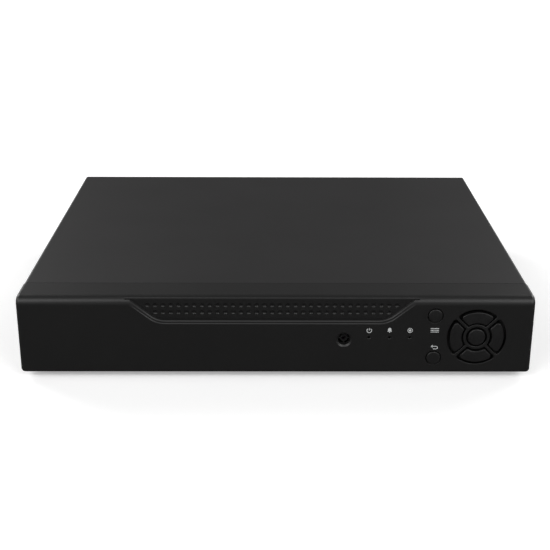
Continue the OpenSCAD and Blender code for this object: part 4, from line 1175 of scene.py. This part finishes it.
def build_phono_sockets():
    """Single output socket, and the four inputs with white and red tips."""
    at = [AUDIO_OUT]
    shell = dict(stands_for="audio_out_shell", angle=50)
    turned("audio_out_barrel", "nickel", PHONO_OUT_SHELL, at, 0.12, 64, **shell)
    core = dict(stands_for="audio_out_insulator", slot="tip_white")
    turned("audio_out_core", "core_grey", PHONO_OUT_CORE, at, 0.1, 48, **core)
    turned("audio_out_spring", "screw_black", PHONO_SPRING, at, 0.05, 32)
    rows = {
        tip: [(AUDIO_IN[0] + side * PHONO_HALF, AUDIO_IN[1] + rise * PHONO_HALF) for side in (-1, 1)]
        for tip, rise in (("white", 1), ("red", -1))
    }
    places = rows["white"] + rows["red"]
    turned("audio_in_springs", "screw_black", PHONO_SPRING, places, 0.05, 32)
    barrels = dict(stands_for="audio_in_barrels", angle=50)
    turned("audio_in_shells", "bright_tin", PHONO_IN_SHELL, places, 0.1, 56, **barrels)
    for tip, row in rows.items():
        turned(tip + "_tips", "tip_" + tip, PHONO_TIP, row, 0.12, 56, stands_for=tip + "_inserts")


def add_wire(bm, start, end, radius, segments=8):
    way = Vector(end) - Vector(start)
    turn = Matrix.Translation(start) @ way.to_track_quat("Z", "Y").to_matrix().to_4x4()
    profile = [(0.0, 0.0), (radius, 0.0), (radius, way.length), (0.0, way.length)]
    add_lathe(bm, profile, segments=segments, turn=turn)


def spaced(middle, count, pitch):
    """Places in a row, the same distance apart."""
    return [middle + (k - (count - 1) / 2) * pitch for k in range(count)]


def build_network_contacts():
    """Eight sprung wires in the network socket."""
    bm = bmesh.new()
    low = 24.4
    path = [(-1.2, low + 0.3), (-2.4, low + 0.42), (-9.5, low + 2.9), (-11.0, low + 3.1)]
    for u in spaced(STACK_U, 8, 1.02):
        for (w0, v0), (w1, v1) in zip(path, path[1:]):
            add_wire(bm, (u, v0, w0), (u, v1, w1), 0.22)
    make_piece("network_springs", bm, REAR, "gold_contact")


def build_usb_contacts():
    """Flat contacts under the tongues, and the sprung fingers of the two shells."""
    contacts = bmesh.new()
    fingers = bmesh.new()
    for v in (18.0, 9.3):
        for u in spaced(STACK_U, 4, 2.3):
            add_block(contacts, (u - 0.5, v - 0.5, -9.0), (u + 0.5, v - 0.28, -1.2), 0.05)
        for u in spaced(STACK_U, 2, 5.2):
            add_block(fingers, (u - 1.1, v - 2.62, -5.0), (u + 1.1, v - 2.3, -0.4), 0.08)
            add_block(fingers, (u - 1.1, v + 2.35, -5.0), (u + 1.1, v + 2.62, -0.4), 0.08)
    make_piece("usb_flat_contacts", contacts, REAR, "gold_contact")
    make_piece("usb_shell_fingers", fingers, REAR, "bright_tin")


def build_video_contacts():
    """Fine contacts on both sides of the flat video socket's tongue."""
    bm = bmesh.new()
    tongue_v = 9.1
    for count, rise in ((10, 0.895), (9, -0.895)):
        v = tongue_v + rise
        for u in spaced(VIDEO_U, count, 1.0):
            add_block(bm, (u - 0.2, v - 0.055, -9.0), (u + 0.2, v + 0.055, -0.9))
    make_piece("video_flat_contacts", bm, REAR, "gold_contact")


def build_power_spring():
    """Leaf that presses on the power plug from below."""
    bm = bmesh.new()
    u, v = POWER
    path = [(-9.0, -2.95), (-4.5, -2.75), (-2.2, -2.25), (-1.0, -2.6)]
    layers = [(box_outline((u - 1.5, v + rise), (u + 1.5, v + rise + 0.22)), w) for w, rise in path]
    skin(bm, layer_rings(bm, layers))
    make_piece("power_leaf", bm, REAR, "bright_tin")


FOOT_R = 8.0


def build_feet():
    """Moulded rubber feet with a dished middle."""
    bm = bmesh.new()
    height = (feet_high.z - feet_low.z) / MM
    profile = [
        (0.0, 1.2), (2.6, 1.2), (3.0, 0.0), (FOOT_R - 0.7, 0.0), (FOOT_R - 0.15, 0.5), (FOOT_R, height),
        (0.0, height),
    ]
    outline = eased(profile, 0.25, closed=False)
    x = feet_high.x / MM - FOOT_R
    for side in (-1, 1):
        for y in (feet_low.y / MM + FOOT_R, feet_high.y / MM - FOOT_R):
            add_lathe(bm, outline, (side * x, y), segments=48)
    make_piece("moulded_feet", bm, UPRIGHT, "foot_rubber", stands_for="rubber_feet")


# CAD nodes that are carried over, by the width of their rounded edges
SOFT_EDGES = {
    0.08: (
        "cover_screws", "drive_screws", "display_insert", "video_shell", "video_tongue",
        "network_usb_insert", "terminal_pins", "main_board", "video_processor", "memory_chips",
    ),
    0.1: ("pan_screws", "network_usb_shell", "heat_sink"),
    0.12: ("chassis_base",),
    0.15: (
        "audio_in_block", "display_shell", "display_jackscrews", "network_lamps", "terminal_block",
        "drive_data_lead", "drive_power_lead", "front_panel_lead", "switch_bodies",
    ),
    0.18: ("top_cover",),
    0.2: ("lead_sockets", "jack_housings", "coin_cell"),
    0.25: ("power_jack",),
    0.3: ("alarm_buzzer",),
    0.4: ("hard_drive",),
}


def soften_cad_nodes():
    for width, nodes in SOFT_EDGES.items():
        for node in nodes:
            soften(node, width)


# ---- Stage, in metres ----

FLOOR_R = 2.6
FLOOR_GLOW = 0.35
WORLD_FILL = 0.12
FOCUS = Vector((0.0, 0.0, 0.02))
# Power of the rear softbox on each side; the softboxes keep off the middle plane, where the lid mirrors them
SIDE_ENERGY = {-1: 22, 1: 18.5}
# The photograph's viewing angle: from the front, a little above
CAMERA_PLACE = Vector((-0.0022, -0.60505, 0.2444))
CAMERA_DOWN = math.radians(21.0)
CAMERA_YAW = math.radians(0.59)
CAMERA_ROLL = math.radians(0.30)
CAMERA_LENS = 70.9
CAMERA_SHIFT = -0.0129


def add_softbox(name, place, size, energy):
    data = bpy.data.lights.new(name, "AREA")
    data.shape = "RECTANGLE"
    data.size = size[0]
    data.size_y = size[1]
    data.energy = energy
    obj = bpy.data.objects.new(name, data)
    bpy.context.scene.collection.objects.link(obj)
    obj.location = place
    obj.rotation_mode = "QUATERNION"
    obj.rotation_quaternion = (FOCUS - Vector(place)).to_track_quat("-Z", "Y")
    obj.visible_camera = False


def build_floor():
    bm = bmesh.new()
    bmesh.ops.create_circle(bm, cap_ends=True, segments=96, radius=FLOOR_R)
    floor = add_object("floor", bm)
    material = bpy.data.materials.new("pale_floor")
    g = Graph(material)
    pale = g.mix(g.spread(g.noise(300.0), 0.0, 1.0), (0.80, 0.80, 0.80, 1), (0.82, 0.82, 0.82, 1))
    g.shade(Base_Color=pale, Roughness=0.9, Specular_IOR_Level=0.1)
    g.shade(Emission_Color=(1, 1, 1, 1), Emission_Strength=FLOOR_GLOW)
    floor.data.materials.append(material)
    floor.location.z = cad_box[0].z
    floor.visible_glossy = False


def build_lights():
    for side, energy in SIDE_ENERGY.items():
        add_softbox("front_softbox", (side * 1.1, -1.3, 0.95), (0.9, 0.9), 6.5)
        add_softbox("high_softbox", (side * 0.75, -1.2, 1.2), (0.8, 0.7), 7)
        add_softbox("rear_softbox", (side * 1.35, 1.2, 0.95), (0.9, 0.9), energy)
        add_softbox("side_softbox", (side * 1.7, -0.25, 0.8), (0.7, 0.9), energy * 0.35)


def build_world():
    """Pale to the camera, and dim to the surfaces it lights."""
    world = bpy.data.worlds.new("studio")
    bpy.context.scene.world = world
    g = Graph(world, "BACKGROUND")
    g.shade(Color=(1.0, 0.98, 0.98, 1), Strength=WORLD_FILL)
    pale = g.node("Background", Color=(1, 1, 1, 1), Strength=1.0)
    mix = g.node("MixShader", Fac=g.node("LightPath").outputs["Is Camera Ray"])
    g.feed(mix.inputs[1], g.shader.outputs["Background"])
    g.feed(mix.inputs[2], pale.outputs["Background"])
    out = next(n for n in g.tree.nodes if n.type == "OUTPUT_WORLD")
    g.feed(out.inputs["Surface"], mix.outputs["Shader"])


def build_camera():
    level = Vector((math.sin(CAMERA_YAW), math.cos(CAMERA_YAW), 0))
    ahead = level * math.cos(CAMERA_DOWN) - Vector((0, 0, math.sin(CAMERA_DOWN)))
    right = Vector((math.cos(CAMERA_YAW), -math.sin(CAMERA_YAW), 0))
    up = right.cross(ahead)
    across = math.cos(CAMERA_ROLL) * right + math.sin(CAMERA_ROLL) * up
    upward = math.cos(CAMERA_ROLL) * up - math.sin(CAMERA_ROLL) * right
    data = bpy.data.cameras.new("camera")
    data.lens = CAMERA_LENS
    data.sensor_width = 36.0
    data.shift_x = CAMERA_SHIFT
    camera = bpy.data.objects.new("camera", data)
    bpy.context.scene.collection.objects.link(camera)
    axes = Matrix((across, upward, -ahead)).transposed().to_4x4()
    camera.matrix_world = Matrix.Translation(CAMERA_PLACE) @ axes
    bpy.context.scene.camera = camera
    bpy.context.scene.view_settings.view_transform = "Standard"


build_camera()
paint_cad_nodes()
build_bezel()
build_keys()
build_front_print()
build_rear_black()
build_rear_white()
build_bnc_sockets()
build_phono_sockets()
build_network_contacts()
build_usb_contacts()
build_video_contacts()
build_power_spring()
build_feet()
soften_cad_nodes()
build_floor()
build_lights()
build_world()
